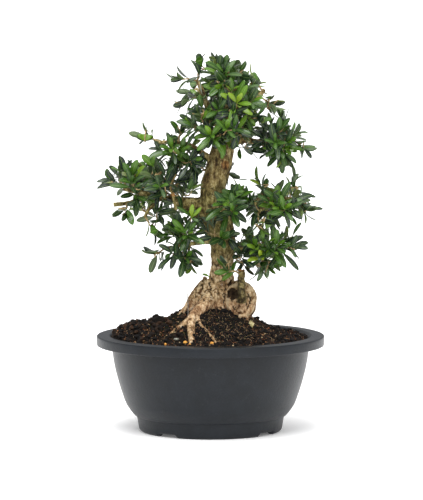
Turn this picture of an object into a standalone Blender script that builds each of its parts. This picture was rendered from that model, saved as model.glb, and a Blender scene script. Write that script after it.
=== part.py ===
"""Bonsai tree in a round training pot.  Metres, +Z up, origin on the ground under the pot's centre."""

import math
import random

import bmesh
import bpy
from mathutils import Quaternion, Vector
from mathutils.bvhtree import BVHTree

MM = 0.001

# Pot
rim_diameter = 230 * MM
rim_width = 12.7 * MM            # flat ring on top of the rim
rim_chamfer = 6.5 * MM           # slope from the flat ring down to the inner wall
lip_height = 10.2 * MM           # band that hangs down outside the rim
pot_height = 97 * MM
pot_wall = 2.5 * MM
shoulder_height = 26 * MM        # where the side wall turns in towards the base ring
base_ring_height = 15.5 * MM
base_ring_diameter = 150 * MM
foot_diameter = 141 * MM
foot_width = 5 * MM
foot_height = 5 * MM             # the floor's underside stands this far off the ground
side_fullness = 1.6              # 1 is a straight cone, more is a rounder side
wall_inset = 15.4 * MM           # from the rim's edge in to the side wall's top
shoulder_inset = 29.6 * MM       # from the rim's edge in to the shoulder
notch_count = 4
notch_width = 20 * MM
notch_height = 3 * MM
notch_slope = 2 * MM
notch_turn = math.radians(52.3)
drain_count = 6
drain_diameter = 9 * MM
drain_circle = 80 * MM
pot_steps = 28

# Soil
soil_edge_depth = 4.5 * MM       # below the rim's top at the wall
mound_height = 36.5 * MM
mound_reach_x = 55 * MM
mound_reach_y = 50 * MM
mound_centre_x = 2 * MM
soil_roughness = 1.3 * MM

# Tree.  The habit tables below are drawn in millimetres for a tree of the drawn size.
tree_height = 253 * MM
crown_width = 226 * MM
drawn_height = 253 * MM
drawn_width = 226 * MM
trunk_diameter = 25 * MM
drawn_trunk = 25 * MM
burr_width = 33 * MM
burr_height = 41 * MM
burr_place = (30, -6, 2)         # drawn millimetres, like the habit tables
knot_hole_diameter = 10.5 * MM
knot_hole_place = (23, -19, 10.5)
twig_diameter = 1.9 * MM
shortest_twig = 14 * MM

# Leaves
leaf_length = 19.5 * MM
leaf_width = 7.2 * MM
leaf_thickness = 1.0 * MM
leaf_belly = 0.56                # widest point, as a share of the length
leaf_arch = 0.07                 # rise of the widest point over the straight line to the tip
leaf_spacing = 4.6 * MM          # between pairs along a twig
leaf_root = 0.3 * MM             # how far past the twig's axis a leaf starts
leaf_pairs = 4

# Loose things on the soil
grain_diameter = 4.4 * MM
grain_places = ((1.5, -80), (-25, -76))
clod_size = 13 * MM
clod_place = (-52, -14)
stalk_diameter = 1.2 * MM
stalk_height = 24 * MM
stalk_place = (-23, -22)
fallen_leaf_length = 15 * MM
fallen_leaf_width = 6 * MM
fallen_leaf_place = (40, -24)

gap = 0.3 * MM                   # between pieces that touch

spread = crown_width / drawn_width
rise = tree_height / drawn_height
girth = trunk_diameter / drawn_trunk
rim_radius = rim_diameter / 2
soil_edge_z = pot_height - soil_edge_depth
soil_top_z = soil_edge_z + mound_height

for old in list(bpy.data.objects):
    bpy.data.objects.remove(old, do_unlink=True)

plant = bpy.data.collections.new("potted_bonsai")
cutters = bpy.data.collections.new("cutters")
bpy.context.scene.collection.children.link(plant)
bpy.context.scene.collection.children.link(cutters)


def material(name, colour, roughness, metallic=0.0):
    made = bpy.data.materials.get(name)
    if made is None:
        made = bpy.data.materials.new(name)
        made.use_nodes = True
        shader = made.node_tree.nodes["Principled BSDF"]
        shader.inputs["Base Color"].default_value = (*colour, 1.0)
        shader.inputs["Roughness"].default_value = roughness
        shader.inputs["Metallic"].default_value = metallic
    return made


def add_object(name, data, collection=plant):
    made = bpy.data.objects.new(name, data)
    collection.objects.link(made)
    if collection is cutters:
        made.hide_render = True
        made.display_type = "WIRE"
    return made


def baked_mesh(source):
    """The mesh that an object evaluates to, closed at its caps and in flat triangles."""
    bpy.context.view_layer.update()
    evaluated = source.evaluated_get(bpy.context.evaluated_depsgraph_get())
    mesh = bpy.data.meshes.new_from_object(evaluated)
    mesh.transform(source.matrix_world)
    bm = bmesh.new()
    bm.from_mesh(mesh)
    bmesh.ops.remove_doubles(bm, verts=bm.verts, dist=0.000001)
    bmesh.ops.triangulate(bm, faces=bm.faces, quad_method="FIXED")
    bmesh.ops.recalc_face_normals(bm, faces=bm.faces)
    bm.to_mesh(mesh)
    bm.free()
    return mesh


def bake(source):
    """Replace an object's curve or modifiers by the mesh they make."""
    mesh = baked_mesh(source)
    name = source.name
    collection = source.users_collection[0]
    bpy.data.objects.remove(source, do_unlink=True)
    return add_object(name, mesh, collection)


def promote(piece):
    """Move a piece out of the cutters and show it."""
    for collection in list(piece.users_collection):
        collection.objects.unlink(piece)
    plant.objects.link(piece)
    piece.hide_render = False
    piece.display_type = "TEXTURED"


def combine(target, tools, operation, solver="EXACT"):
    """Join tools to a piece, or cut them out of it, and bake the result."""
    for tool in tools:
        step = target.modifiers.new(operation.lower(), "BOOLEAN")
        step.operation = operation
        step.solver = solver
        if solver == "EXACT":
            step.use_self = operation == "UNION"
        step.object = tool
    made = bake(target)
    for tool in tools:
        bpy.data.objects.remove(tool, do_unlink=True)
    return made


def finish(piece, name, look):
    piece.name = name
    piece.data.name = name
    piece.data.materials.clear()
    piece.data.materials.append(look)
    piece.data.shade_smooth()
    piece.data.set_sharp_from_angle(angle=math.radians(40))
    return piece


def turned(name, profile, collection=plant):
    """A profile of (radius, height) points turned once round the Z axis."""
    mesh = bpy.data.meshes.new(name)
    points = [(radius, 0.0, height) for radius, height in profile]
    mesh.from_pydata(points, [(i, i + 1) for i in range(len(points) - 1)], [])
    made = add_object(name, mesh, collection)
    screw = made.modifiers.new("turn", "SCREW")
    screw.steps = pot_steps
    screw.render_steps = pot_steps
    screw.use_merge_vertices = True
    screw.merge_threshold = 0.00001
    return made


# ---------------------------------------------------------------- paths and tubes

def smooth_path(stations, samples):
    """A Catmull-Rom curve through stations of (point, radius), read at even steps."""
    padded = [stations[0]] + list(stations) + [stations[-1]]
    last = len(stations) - 1
    read = []
    for step in range(samples):
        t = step / (samples - 1) * last
        i = min(int(t), last - 1)
        u = t - i
        weights = (-0.5 * u + u * u - 0.5 * u ** 3,
                   1 - 2.5 * u * u + 1.5 * u ** 3,
                   0.5 * u + 2 * u * u - 1.5 * u ** 3,
                   -0.5 * u * u + 0.5 * u ** 3)
        point = Vector((0, 0, 0))
        radius = 0.0
        for k in range(4):
            point += weights[k] * padded[i + k][0]
            radius += weights[k] * padded[i + k][1]
        read.append((point, radius))
    return read


def tube(name, path, grown=0.0, resolution=2, collection=cutters):
    """A closed round stem along a path; grown adds to its radius and to both ends."""
    points = [point.copy() for point, radius in path]
    if grown:
        points[0] += (points[0] - points[1]).normalized() * grown
        points[-1] += (points[-1] - points[-2]).normalized() * grown
    curve = bpy.data.curves.new(name, "CURVE")
    curve.dimensions = "3D"
    curve.bevel_depth = 1.0
    curve.bevel_resolution = resolution
    curve.use_fill_caps = True
    spline = curve.splines.new("POLY")
    spline.points.add(len(points) - 1)
    for slot, point, (centre, radius) in zip(spline.points, points, path):
        slot.co = (*point, 1.0)
        slot.radius = radius + grown
    return bake(add_object(name, curve, collection))


def habit(x, y, z):
    """A point of the drawn tree: millimetres from the trunk's foot on the soil."""
    return Vector((x * spread, y * spread, 0)) * MM + Vector((0, 0, soil_top_z + z * rise * MM))


def stems(table, girth_share=1.0):
    return [(habit(x, y, z), radius * MM * girth_share) for x, y, z, radius in table]


# ---------------------------------------------------------------- pot

def side_radius(height):
    """Outer radius of the side wall, from the shoulder up to under the rim."""
    top = pot_height - lip_height
    low = rim_radius - shoulder_inset
    high = rim_radius - wall_inset
    share = min(1.0, max(0.0, (height - shoulder_height) / (top - shoulder_height)))
    return high - (high - low) * (1 - share) ** side_fullness


def side_heights():
    top = pot_height - lip_height
    return [top + (shoulder_height - top) * share for share in (0.0, 0.25, 0.5, 0.78, 1.0)]


def inner_profile():
    """The pot's inside, from the floor's centre out and up to the chamfer's foot."""
    base_inside = base_ring_diameter / 2 - pot_wall
    floor_top = foot_height + pot_wall
    corner = 2 * pot_wall
    points = [(0.0, floor_top),
              (base_inside - corner, floor_top),
              (base_inside - 0.3 * corner, floor_top + 0.3 * corner),
              (base_inside, base_ring_height)]
    for height in reversed(side_heights()):
        points.append((side_radius(height) - pot_wall, height))
    points.append((side_radius(pot_height) - pot_wall, pot_height - rim_chamfer))
    return points


def make_pot():
    base = base_ring_diameter / 2
    foot = foot_diameter / 2
    rim_inner = rim_radius - rim_width
    edge = 1.2 * MM
    under_rim = pot_height - pot_wall
    wall_top = rim_radius - wall_inset
    lip_foot = pot_height - lip_height
    shoulder = rim_radius - shoulder_inset
    profile = inner_profile()
    profile += [(rim_inner, pot_height),
                (rim_radius - edge, pot_height),
                (rim_radius, pot_height - edge),
                (rim_radius, lip_foot + edge),
                (rim_radius - edge, lip_foot),
                (rim_radius - pot_wall, lip_foot),
                (rim_radius - pot_wall, under_rim),
                (wall_top + 2 * pot_wall, under_rim),
                (wall_top, under_rim - 2 * pot_wall)]
    profile += [(side_radius(height), height) for height in side_heights()]
    drop = shoulder_height - base_ring_height
    profile += [(shoulder - 0.32 * (shoulder - base), base_ring_height + 0.45 * drop),
                (base + 0.15 * (shoulder - base), base_ring_height + 0.02 * drop),
                (base, base_ring_height - edge),
                (foot + 1.6 * MM, 1.6 * MM),
                (foot, 0.0),
                (foot - foot_width, 0.0),
                (foot - foot_width - 1.0 * MM, foot_height),
                (0.0, foot_height)]
    pot = bake(turned("pot", profile))
    tools = [notch(k) for k in range(notch_count)] + [drain(k) for k in range(drain_count)]
    pot = combine(pot, tools, "DIFFERENCE", "MANIFOLD")
    return finish(pot, "pot", material("pot_plastic", (0.035, 0.038, 0.043), 0.5))


def notch(index):
    """A slot with sloped ends through the foot ring."""
    mesh = bpy.data.meshes.new("notch")
    bm = bmesh.new()
    bmesh.ops.create_cube(bm, size=1.0)
    for vertex in bm.verts:
        low = vertex.co.z < 0
        half = notch_width / 2 + (notch_slope if low else 0.0)
        vertex.co.x = math.copysign(half, vertex.co.x)
        vertex.co.y = math.copysign(foot_width + 4 * MM, vertex.co.y) - foot_diameter / 2
        vertex.co.z = -1 * MM if low else notch_height
    bm.to_mesh(mesh)
    bm.free()
    made = add_object("notch", mesh, cutters)
    made.rotation_euler.z = notch_turn + index * 2 * math.pi / notch_count
    return made


def drain(index):
    angle = 2 * math.pi * (index + 0.5) / drain_count
    mesh = bpy.data.meshes.new("drain")
    bm = bmesh.new()
    bmesh.ops.create_cone(bm, cap_ends=True, segments=12, radius1=drain_diameter / 2,
                          radius2=drain_diameter / 2, depth=4 * pot_wall)
    bm.to_mesh(mesh)
    bm.free()
    made = add_object("drain", mesh, cutters)
    made.location = (drain_circle / 2 * math.cos(angle), drain_circle / 2 * math.sin(angle),
                     foot_height + pot_wall / 2)
    return made


# ---------------------------------------------------------------- soil

def ground_height(x, y):
    """The smooth height of the soil's surface."""
    across = (x - mound_centre_x) / mound_reach_x
    along = y / mound_reach_y
    return soil_edge_z + mound_height * math.exp(-across * across - along * along)


def make_soil(wood_tools):
    walls = [(radius, height) for radius, height in inner_profile()
             if height < soil_edge_z - 1 * MM]
    last_radius, last_height = walls[-1]
    slope = (rim_radius - rim_width - last_radius) / rim_chamfer
    edge = last_radius + slope * (soil_edge_z - last_height) - gap
    surface = [(0.0, soil_top_z)]
    for share in (0.15, 0.3, 0.44, 0.58, 0.72, 0.87):
        surface.append((edge * share, soil_top_z))
    side = [(edge, soil_edge_z)]
    side += [(radius - gap, height) for radius, height in reversed(walls[2:])]
    side += [(walls[1][0], walls[1][1] + gap), (0.0, walls[0][1] + gap)]
    soil = bake(turned("soil", surface + side))
    dice = random.Random(7)
    for vertex in soil.data.vertices:
        if vertex.co.z > soil_top_z - 0.1 * MM:
            height = ground_height(vertex.co.x, vertex.co.y)
            vertex.co.z = height + dice.uniform(-soil_roughness, soil_roughness)
    soil = combine(soil, wood_tools, "DIFFERENCE", "MANIFOLD")
    return finish(soil, "soil", material("potting_soil", (0.03, 0.02, 0.014), 0.95))


# ---------------------------------------------------------------- trunk, roots and burr

trunk_line = [(6, 3, -34, 15), (8, 2, -8, 19), (10, 1, 8, 15.5), (11, 0, 25, 12.3),
              (11, -1, 39, 10.2), (13, -3, 58, 13.4), (7, -5, 86, 14.6), (2, -5, 112, 13.2),
              (5.5, -3, 128, 12.8), (11, 0, 150, 12.2), (15, 2, 172, 9.6), (20, 3, 194, 6.8),
              (24, 2, 215, 4.0), (22, 1, 230, 2.2)]

# x, y, height over the soil, radius
root_lines = {
    "front": [(4, -6, 12, 9), (-5, -17, 5, 7), (-13, -25, 3.5, 6), (-19, -33, 3, 5.2),
              (-19.5, -43, 2, 4.6), (-19, -54, 0.5, 4), (-19, -66, -2.5, 3.4), (-19, -78, -9, 2.6)],
    "front_left": [(-17, -29, 2, 4.4), (-27, -35, 2, 3.4), (-35, -40, 1, 2.7), (-44, -47, -1.5, 2.2),
                   (-54, -52, -7, 1.8)],
    "thin_front": [(-11, -26, 1, 2.2), (-12, -36, 1.4, 1.9), (-4, -50, 0.8, 1.7), (4, -66, 0, 1.6),
                   (8, -76, -5, 1.3)],
    "left": [(0, -2, 20, 9), (-13, -7, 10, 8.5), (-22, -10, 2, 6), (-34, -11, -3, 4), (-50, -13, -14, 2.6)],
    "right": [(22, -6, 2, 9), (36, -10, 1, 4.2), (46, -17, -1, 2.8), (58, -24, -8, 2)],
    "right_thin": [(30, -14, 0, 3.4), (38, -24, 1, 2.2), (46, -35, -1, 1.8), (54, -44, -7, 1.4)],
    "back_left": [(2, 6, 12, 9), (-8, 22, 4, 6.5), (-18, 38, 0, 4.5), (-26, 52, -8, 3)],
    "back_right": [(14, 6, 8, 9), (28, 22, 3, 6), (38, 36, -1, 4), (46, 50, -9, 2.6)],
}

stub_line = [(31, -16, -6, 4.2), (31.5, -21, 8, 3.6), (31, -23, 22, 3.3), (31, -24, 36, 3.1)]


def root_path(line):
    stations = []
    for x, y, over, radius in line:
        ground = ground_height(x * MM * spread, y * MM * spread)
        stations.append((Vector((x * MM * spread, y * MM * spread, ground + over * MM)),
                         radius * MM * girth))
    return smooth_path(stations, 3 * len(stations) // 2)


def burr_ball(grown=0.0):
    mesh = bpy.data.meshes.new("burr")
    bm = bmesh.new()
    bmesh.ops.create_uvsphere(bm, u_segments=12, v_segments=8, radius=1.0)
    dice = random.Random(3)
    for vertex in bm.verts:
        vertex.co *= 1 + dice.uniform(-0.07, 0.07)
    bm.to_mesh(mesh)
    bm.free()
    made = add_object("burr", mesh, cutters)
    made.location = habit(*burr_place)
    made.scale = (burr_width / 2 + grown, burr_width * 0.42 + grown, burr_height / 2 + grown)
    return bake(made)


def wood_pieces(grown=0.0):
    parts = [tube("trunk", smooth_path(stems(trunk_line, girth), 22), grown, 3)]
    for line in root_lines.values():
        parts.append(tube("root", root_path(line), grown))
    parts.append(burr_ball(grown))
    parts.append(tube("stub", smooth_path(stems(stub_line), 6), grown))
    return parts


def make_trunk():
    parts = wood_pieces()
    trunk = combine(parts[0], parts[1:], "UNION")
    mesh = bpy.data.meshes.new("knot_hole")
    bm = bmesh.new()
    bmesh.ops.create_uvsphere(bm, u_segments=10, v_segments=6, radius=knot_hole_diameter / 2)
    bm.to_mesh(mesh)
    bm.free()
    hole = add_object("knot_hole", mesh, cutters)
    hole.location = habit(*knot_hole_place)
    trunk = combine(trunk, [hole], "DIFFERENCE")
    promote(trunk)
    return finish(trunk, "trunk", material("bark", (0.23, 0.17, 0.1), 0.85))


# ---------------------------------------------------------------- branches

# Each line starts inside the trunk or its parent branch: x, y, z, radius
branch_lines = {
    "branch_left_low": [(6, -8, 64, 2.6), (-8, -17, 63, 2.4), (-20, -21, 62, 2.1), (-34, -20, 59, 1.7),
                        (-46, -17, 58, 1.3)],
    "branch_left_middle": [(2, -5, 96, 6.5), (-16, -6, 102, 5.4), (-31, -8, 104, 4.3),
                           (-48, -12, 107, 3.4), (-66, -10, 112, 2.7), (-88, -8, 116, 2.0)],
    "branch_left_upper": [(6, -2, 138, 3.6), (-8, -5, 152, 3.2), (-24, -7, 161, 2.8),
                          (-40, -7, 163, 2.2), (-52, -6, 163, 1.7)],
    "branch_right_low": [(12, -6, 62, 3.2), (27, -12, 57, 2.8), (44, -15, 54, 2.4), (60, -16, 55, 1.9),
                         (72, -16, 57, 1.5)],
    "branch_right_middle": [(8, -6, 92, 5.0), (28, -12, 99, 4.0), (48, -14, 103, 3.3),
                            (66, -14, 107, 2.6), (84, -13, 106, 1.9)],
    "branch_right_upper": [(14, 1, 158, 4.0), (34, 1, 165, 3.4), (54, 0, 161, 2.8), (70, -2, 163, 2.2),
                           (82, -3, 167, 1.7)],
    "branch_crown_left": [(14, 1, 170, 4.2), (4, -5, 186, 3.7), (-4, -8, 202, 3.0), (-10, -8, 218, 2.3),
                          (-14, -7, 226, 1.7)],
    "branch_crown_right": [(19, 2, 186, 4.2), (34, -1, 198, 3.6), (46, -3, 206, 2.8), (54, -3, 216, 2.0)],
    "branch_back": [(4, 0, 116, 4.0), (3, 18, 122, 3.4), (2, 34, 128, 2.7), (4, 50, 138, 1.9)],
}

# Short side shoots grown in one with a branch
side_lines = {
    "branch_left_middle": [[(-60, -11, 109, 2.2), (-80, -16, 103, 2.1), (-97, -18, 101, 2.4)],
                           [(-26, -9, 101, 2.4), (-35, -20, 97, 1.7), (-37, -24, 109, 1.5),
                            (-41, -24, 121, 1.3), (-34, -24, 132, 1.1)],
                           [(-50, -12, 107, 2.4), (-62, -20, 96, 1.8), (-66, -22, 88, 1.4)]],
    "branch_right_middle": [[(56, -14, 105, 2.4), (50, -26, 97, 1.9), (46, -34, 92, 1.5)],
                            [(40, -13, 101, 2.6), (50, 6, 108, 1.9), (60, 18, 112, 1.4)]],
    "branch_crown_left": [[(2, -6, 190, 2.8), (-4, -20, 184, 2.0), (-6, -30, 176, 1.5)],
                          [(-6, -8, 208, 2.2), (-10, 6, 212, 1.8), (-14, 16, 216, 1.4)]],
    "branch_crown_right": [[(38, -2, 201, 2.8), (36, -18, 192, 2.0), (32, -28, 182, 1.5)],
                           [(40, -2, 202, 2.4), (40, 14, 206, 1.8), (38, 24, 208, 1.4)]],
}


def branch_paths(name):
    paths = [smooth_path(stems(branch_lines[name]), 9)]
    for line in side_lines.get(name, []):
        paths.append(smooth_path(stems(line), 5))
    return paths


def make_branch(name, look):
    parts = [tube(name, path) for path in branch_paths(name)]
    branch = parts[0]
    if parts[1:]:
        branch = combine(branch, parts[1:], "UNION")
    branch = combine(branch, [tube("trunk_room", smooth_path(stems(trunk_line, girth), 22), gap, 3)],
                     "DIFFERENCE")
    promote(branch)
    return finish(branch, name, look)


# ---------------------------------------------------------------- sprigs

# Host branch and the end of each twig: x, y, z
sprig_ends = [
    ("branch_crown_left", -11, -6, 239), ("branch_crown_left", -23, -10, 226),
    ("branch_crown_left", -24, -14, 204), ("branch_crown_left", -11, -36, 192),
    ("branch_crown_left", -18, 24, 212), ("branch_crown_left", 2, -38, 170),
    ("trunk", 8, 0, 243), ("trunk", 28, -14, 231), ("trunk", 12, -34, 220), ("trunk", 14, 30, 228),
    ("branch_crown_right", 44, 0, 223), ("branch_crown_right", 56, -6, 204),
    ("branch_crown_right", 45, -32, 188), ("branch_crown_right", 36, 32, 200),
    ("branch_crown_right", 26, -36, 172),
    ("branch_left_upper", -54, -4, 164), ("branch_left_upper", -31, -16, 170),
    ("branch_left_upper", -25, -12, 150),
    ("branch_right_upper", 75, -2, 178), ("branch_right_upper", 88, -6, 161),
    ("branch_right_upper", 73, -12, 148),
    ("branch_left_middle", -97, -4, 122), ("branch_left_middle", -78, -22, 129),
    ("branch_left_middle", -53, -28, 127), ("branch_left_middle", -84, -26, 98),
    ("branch_left_middle", -60, -24, 80), ("branch_left_middle", -63, 24, 111),
    ("branch_right_middle", 24, -34, 107), ("branch_right_middle", 52, -16, 117),
    ("branch_right_middle", 81, -10, 115), ("branch_right_middle", 93, -16, 95),
    ("branch_right_middle", 48, -38, 87), ("branch_right_middle", 62, 20, 105),
    ("branch_left_low", -31, -29, 77), ("branch_left_low", -48, -16, 55), ("branch_left_low", -21, -20, 48),
    ("branch_right_low", 75, -20, 57), ("branch_right_low", 52, -22, 41), ("branch_right_low", 42, 12, 63),
    ("trunk", 12, -27, 67),
    ("branch_back", -10, 52, 130), ("branch_back", 20, 50, 126),
]
shoot_end = (27, -28, 34)        # the small shoot beside the cut stub at the burr

reach_limit = rim_radius - 2 * MM
top_limit = soil_top_z + tree_height


def add_leaf(bm, base, along, up, length, width, grown=0.0, from_share=0.0):
    """A blade with a kite section: a loft from its base over its widest section to the tip."""
    side = along.cross(up).normalized()
    middle = base + along * length * leaf_belly + up * length * leaf_arch
    start = base + (middle - base) * from_share
    half = width / 2 + grown
    thick = leaf_thickness / 2 + grown
    ring = [bm.verts.new(middle + side * half), bm.verts.new(middle + up * thick),
            bm.verts.new(middle - side * half), bm.verts.new(middle - up * thick)]
    ends = [bm.verts.new(start), bm.verts.new(base + along * (length + grown))]
    for end in ends:
        for k in range(4):
            bm.faces.new((ring[k], ring[(k + 1) % 4], end))
    bmesh.ops.recalc_face_normals(bm, faces=bm.faces)


def tree_of(bm):
    bm.faces.ensure_lookup_table()
    return BVHTree.FromBMesh(bm)


def tree_of_object(piece):
    bm = bmesh.new()
    bm.from_mesh(piece.data)
    tree = BVHTree.FromBMesh(bm)
    bm.free()
    return tree


def is_clear(tree, placed):
    return not any(tree.overlap(other) for other in placed)


def nearest_on(paths, target):
    """The point, radius and heading of the host stem nearest to where a twig has to end."""
    best = None
    for path in paths:
        for (a, radius_a), (b, radius_b) in zip(path, path[1:]):
            run = b - a
            share = min(1.0, max(0.0, (target - a).dot(run) / run.dot(run)))
            share = max(0.0, share - 0.25)
            point = a + run * share
            distance = (target - point).length
            if best is None or distance < best[0]:
                best = (distance, point, radius_a + (radius_b - radius_a) * share)
    return best[1], best[2]


def grow_twig(host_paths, target, placed, dice):
    """A curved twig from just outside its host to the target, clear of what is placed."""
    root, radius = nearest_on(host_paths, target)
    for attempt in range(60):
        jitter = Vector([dice.uniform(-1, 1) for _ in range(3)]) * MM * 0.2 * attempt
        end = target + jitter
        heading = (end - root).normalized()
        start = root + heading * (radius + gap + 0.1 * MM * (attempt % 8))
        length = (end - start).length
        if length < shortest_twig:
            end = start + heading * shortest_twig
            length = shortest_twig
        bend = start + (end - start) * 0.5 + Vector((0, 0, 0.1 * length))
        path = []
        for k in range(4):
            t = k / 3
            point = (1 - t) ** 2 * start + 2 * t * (1 - t) * bend + t * t * end
            path.append((point, twig_diameter / 2 * (1 - 0.3 * t)))
        stem = tube("twig", path, resolution=1)
        bm = bmesh.new()
        bm.from_mesh(stem.data)
        probe = tree_of(bm)
        bm.free()
        if is_clear(probe, placed):
            return stem, path
        bpy.data.objects.remove(stem, do_unlink=True)
    raise RuntimeError("no room for a twig")


def at(path, share):
    place = share * (len(path) - 1)
    i = min(int(place), len(path) - 2)
    point = path[i][0].lerp(path[i + 1][0], place - i)
    return point, (path[i + 1][0] - path[i][0]).normalized()


def within_bounds(points):
    return all(math.hypot(p.x, p.y) < reach_limit and p.z < top_limit
               and p.z > ground_height(p.x, p.y) + 6 * MM for p in points)


def leaf_object(leaf):
    """One leaf as a closed mesh, ready to join to its twig."""
    bm = bmesh.new()
    add_leaf(bm, *leaf)
    mesh = bpy.data.meshes.new("leaf")
    bm.to_mesh(mesh)
    bm.free()
    return add_object("leaf", mesh, cutters)


def grow_leaves(path, placed, pairs, dice):
    """Opposite pairs of leaves along a twig, each pair turned a quarter from the last."""
    leaves = []
    taken = list(placed)
    length = sum((b[0] - a[0]).length for a, b in zip(path, path[1:]))
    turn = dice.uniform(0, math.pi)
    for pair in range(pairs + 1):
        share = 1.0 - pair * leaf_spacing / length - 0.01
        if share < 0.12:
            break
        centre, axis = at(path, share)
        across = axis.orthogonal().normalized()
        sides = (0.0, math.pi) if pair < pairs else (dice.choice((0.0, math.pi)),)
        for side in sides:
            for attempt in range(26):
                loose = 0.25 + 0.05 * attempt
                angle = turn + side + pair * math.pi / 2 + dice.uniform(-loose, loose)
                outward = Quaternion(axis, angle) @ across
                lean = math.radians(28 + 11 * min(pair, 3)) + dice.uniform(-loose, loose) * 0.6
                along = (axis * math.cos(lean) + outward * math.sin(lean)
                         + Vector((0, 0, dice.uniform(-0.1, 0.3)))).normalized()
                up = (axis - along * axis.dot(along)).normalized()
                up = Quaternion(along, dice.uniform(-0.5, 0.5)) @ up
                size = dice.uniform(0.78, 1.12) * (0.8 if pair == 0 and side else 1.0)
                size *= max(0.6, 1 - 0.015 * attempt)
                base = centre - outward * leaf_root
                reach = base + along * leaf_length * size
                if not within_bounds((reach, base.lerp(reach, 0.5))):
                    continue
                leaf = (base, along, up, leaf_length * size, leaf_width * size)
                probe = bmesh.new()
                add_leaf(probe, *leaf, grown=gap, from_share=0.45)
                tree = tree_of(probe)
                probe.free()
                if is_clear(tree, taken):
                    leaves.append(leaf_object(leaf))
                    blade = bmesh.new()
                    add_leaf(blade, *leaf, from_share=0.3)
                    taken.append(tree_of(blade))
                    blade.free()
                    break
    return leaves


def make_sprig(name, host_paths, target, placed, pairs, seed, look):
    dice = random.Random(seed)
    stem, path = grow_twig(host_paths, target, placed, dice)
    leaves = grow_leaves(path, placed, pairs, dice)
    sprig = combine(stem, leaves, "UNION", "MANIFOLD")
    promote(sprig)
    return finish(sprig, name, look)


# ---------------------------------------------------------------- loose things on the soil

def shift(piece, height):
    for vertex in piece.data.vertices:
        vertex.co.z += height


def settle(piece, grounds):
    """Lower a piece on to what lies under it, and leave one gap below its closest point."""
    surfaces = [tree_of_object(ground) for ground in grounds]
    drops = []
    for surface in surfaces:
        for vertex in piece.data.vertices:
            hit = surface.ray_cast(vertex.co, Vector((0, 0, -1)))
            if hit[0] is not None:
                drops.append(hit[3])
    shift(piece, -min(drops))
    while not is_clear(tree_of_object(piece), surfaces):
        shift(piece, 0.5 * gap)
    shift(piece, gap)


def make_lump(name, place, size, flatness, seed, roughness, look, grounds):
    mesh = bpy.data.meshes.new(name)
    bm = bmesh.new()
    bmesh.ops.create_icosphere(bm, subdivisions=2, radius=size / 2)
    dice = random.Random(seed)
    for vertex in bm.verts:
        vertex.co *= 1 + dice.uniform(-roughness, roughness)
        vertex.co.z *= flatness
        vertex.co += Vector((place[0] * MM, place[1] * MM, soil_top_z + size))
    bm.to_mesh(mesh)
    bm.free()
    made = add_object(name, mesh)
    settle(made, grounds)
    return finish(made, name, look)


def make_fallen_leaf(look, grounds):
    bm = bmesh.new()
    fall = Vector((0.12, -0.9, -0.42)).normalized()
    up = Vector((0, -0.42, 0.9))
    up = (up - fall * up.dot(fall)).normalized()
    x, y = fallen_leaf_place
    start = Vector((x * MM * spread, y * MM * spread, soil_top_z + 20 * MM))
    add_leaf(bm, start, fall, up, fallen_leaf_length, fallen_leaf_width)
    bmesh.ops.recalc_face_normals(bm, faces=bm.faces)
    mesh = bpy.data.meshes.new("fallen_leaf")
    bm.to_mesh(mesh)
    bm.free()
    made = add_object("fallen_leaf", mesh)
    settle(made, grounds)
    return finish(made, "fallen_leaf", look)


def stalk_path():
    x, y = stalk_place[0] * MM * spread, stalk_place[1] * MM * spread
    foot = ground_height(x, y) - 6 * MM
    stations = [(Vector((x, y, foot)), stalk_diameter / 2),
                (Vector((x + 0.6 * MM, y, foot + 0.5 * stalk_height)), stalk_diameter / 2),
                (Vector((x, y, foot + 6 * MM + stalk_height)), stalk_diameter * 0.35)]
    return smooth_path(stations, 5)


# ---------------------------------------------------------------- assembly

def build():
    twig_look = material("leafy_sprig", (0.04, 0.13, 0.03), 0.35)
    branch_look = material("branch_bark", (0.26, 0.19, 0.11), 0.8)

    make_pot()
    trunk = make_trunk()
    stalk = tube("dry_stalk", stalk_path(), resolution=1, collection=plant)
    finish(stalk, "dry_stalk", material("dry_stem", (0.3, 0.27, 0.22), 0.9))
    grown = wood_pieces(gap)
    wood_room = combine(grown[0], grown[1:], "UNION")
    soil = make_soil([wood_room, tube("stalk_room", stalk_path(), gap, 1)])

    grounds = [soil, trunk]
    grain = material("amber_grain", (0.7, 0.3, 0.03), 0.5)
    dark = material("dark_clod", (0.015, 0.012, 0.01), 0.95)
    for index, place in enumerate(grain_places):
        make_lump(f"fertiliser_grain_{index + 1}", place, grain_diameter, 0.95, index, 0.03,
                  grain, grounds)
    make_lump("soil_clod", clod_place, clod_size, 0.75, 11, 0.16, dark, grounds)
    make_fallen_leaf(material("fallen_leaf", (0.42, 0.34, 0.16), 0.6), grounds)

    paths = {"trunk": [smooth_path(stems(trunk_line, girth), 22)[12:]]}
    placed = [tree_of_object(trunk), tree_of_object(stalk)]
    for name in branch_lines:
        branch = make_branch(name, branch_look)
        paths[name] = [path[1:] for path in branch_paths(name)]
        placed.append(tree_of_object(branch))

    for index, (host, x, y, z) in enumerate(sprig_ends):
        hosts = paths[host]
        if host == "trunk" and z < 100:
            hosts = [smooth_path(stems(trunk_line, girth), 22)]
        sprig = make_sprig(f"sprig_{index + 1:02d}", hosts, habit(x, y, z), placed, leaf_pairs,
                           100 + index, twig_look)
        placed.append(tree_of_object(sprig))
    make_sprig("burr_shoot", [smooth_path(stems(stub_line), 6)[2:]], habit(*shoot_end), placed, 2, 5,
               twig_look)


build()
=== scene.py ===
import math
import random

import bmesh
import bpy
import numpy as np
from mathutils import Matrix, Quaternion, Vector, noise
from mathutils.bvhtree import BVHTree


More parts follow.
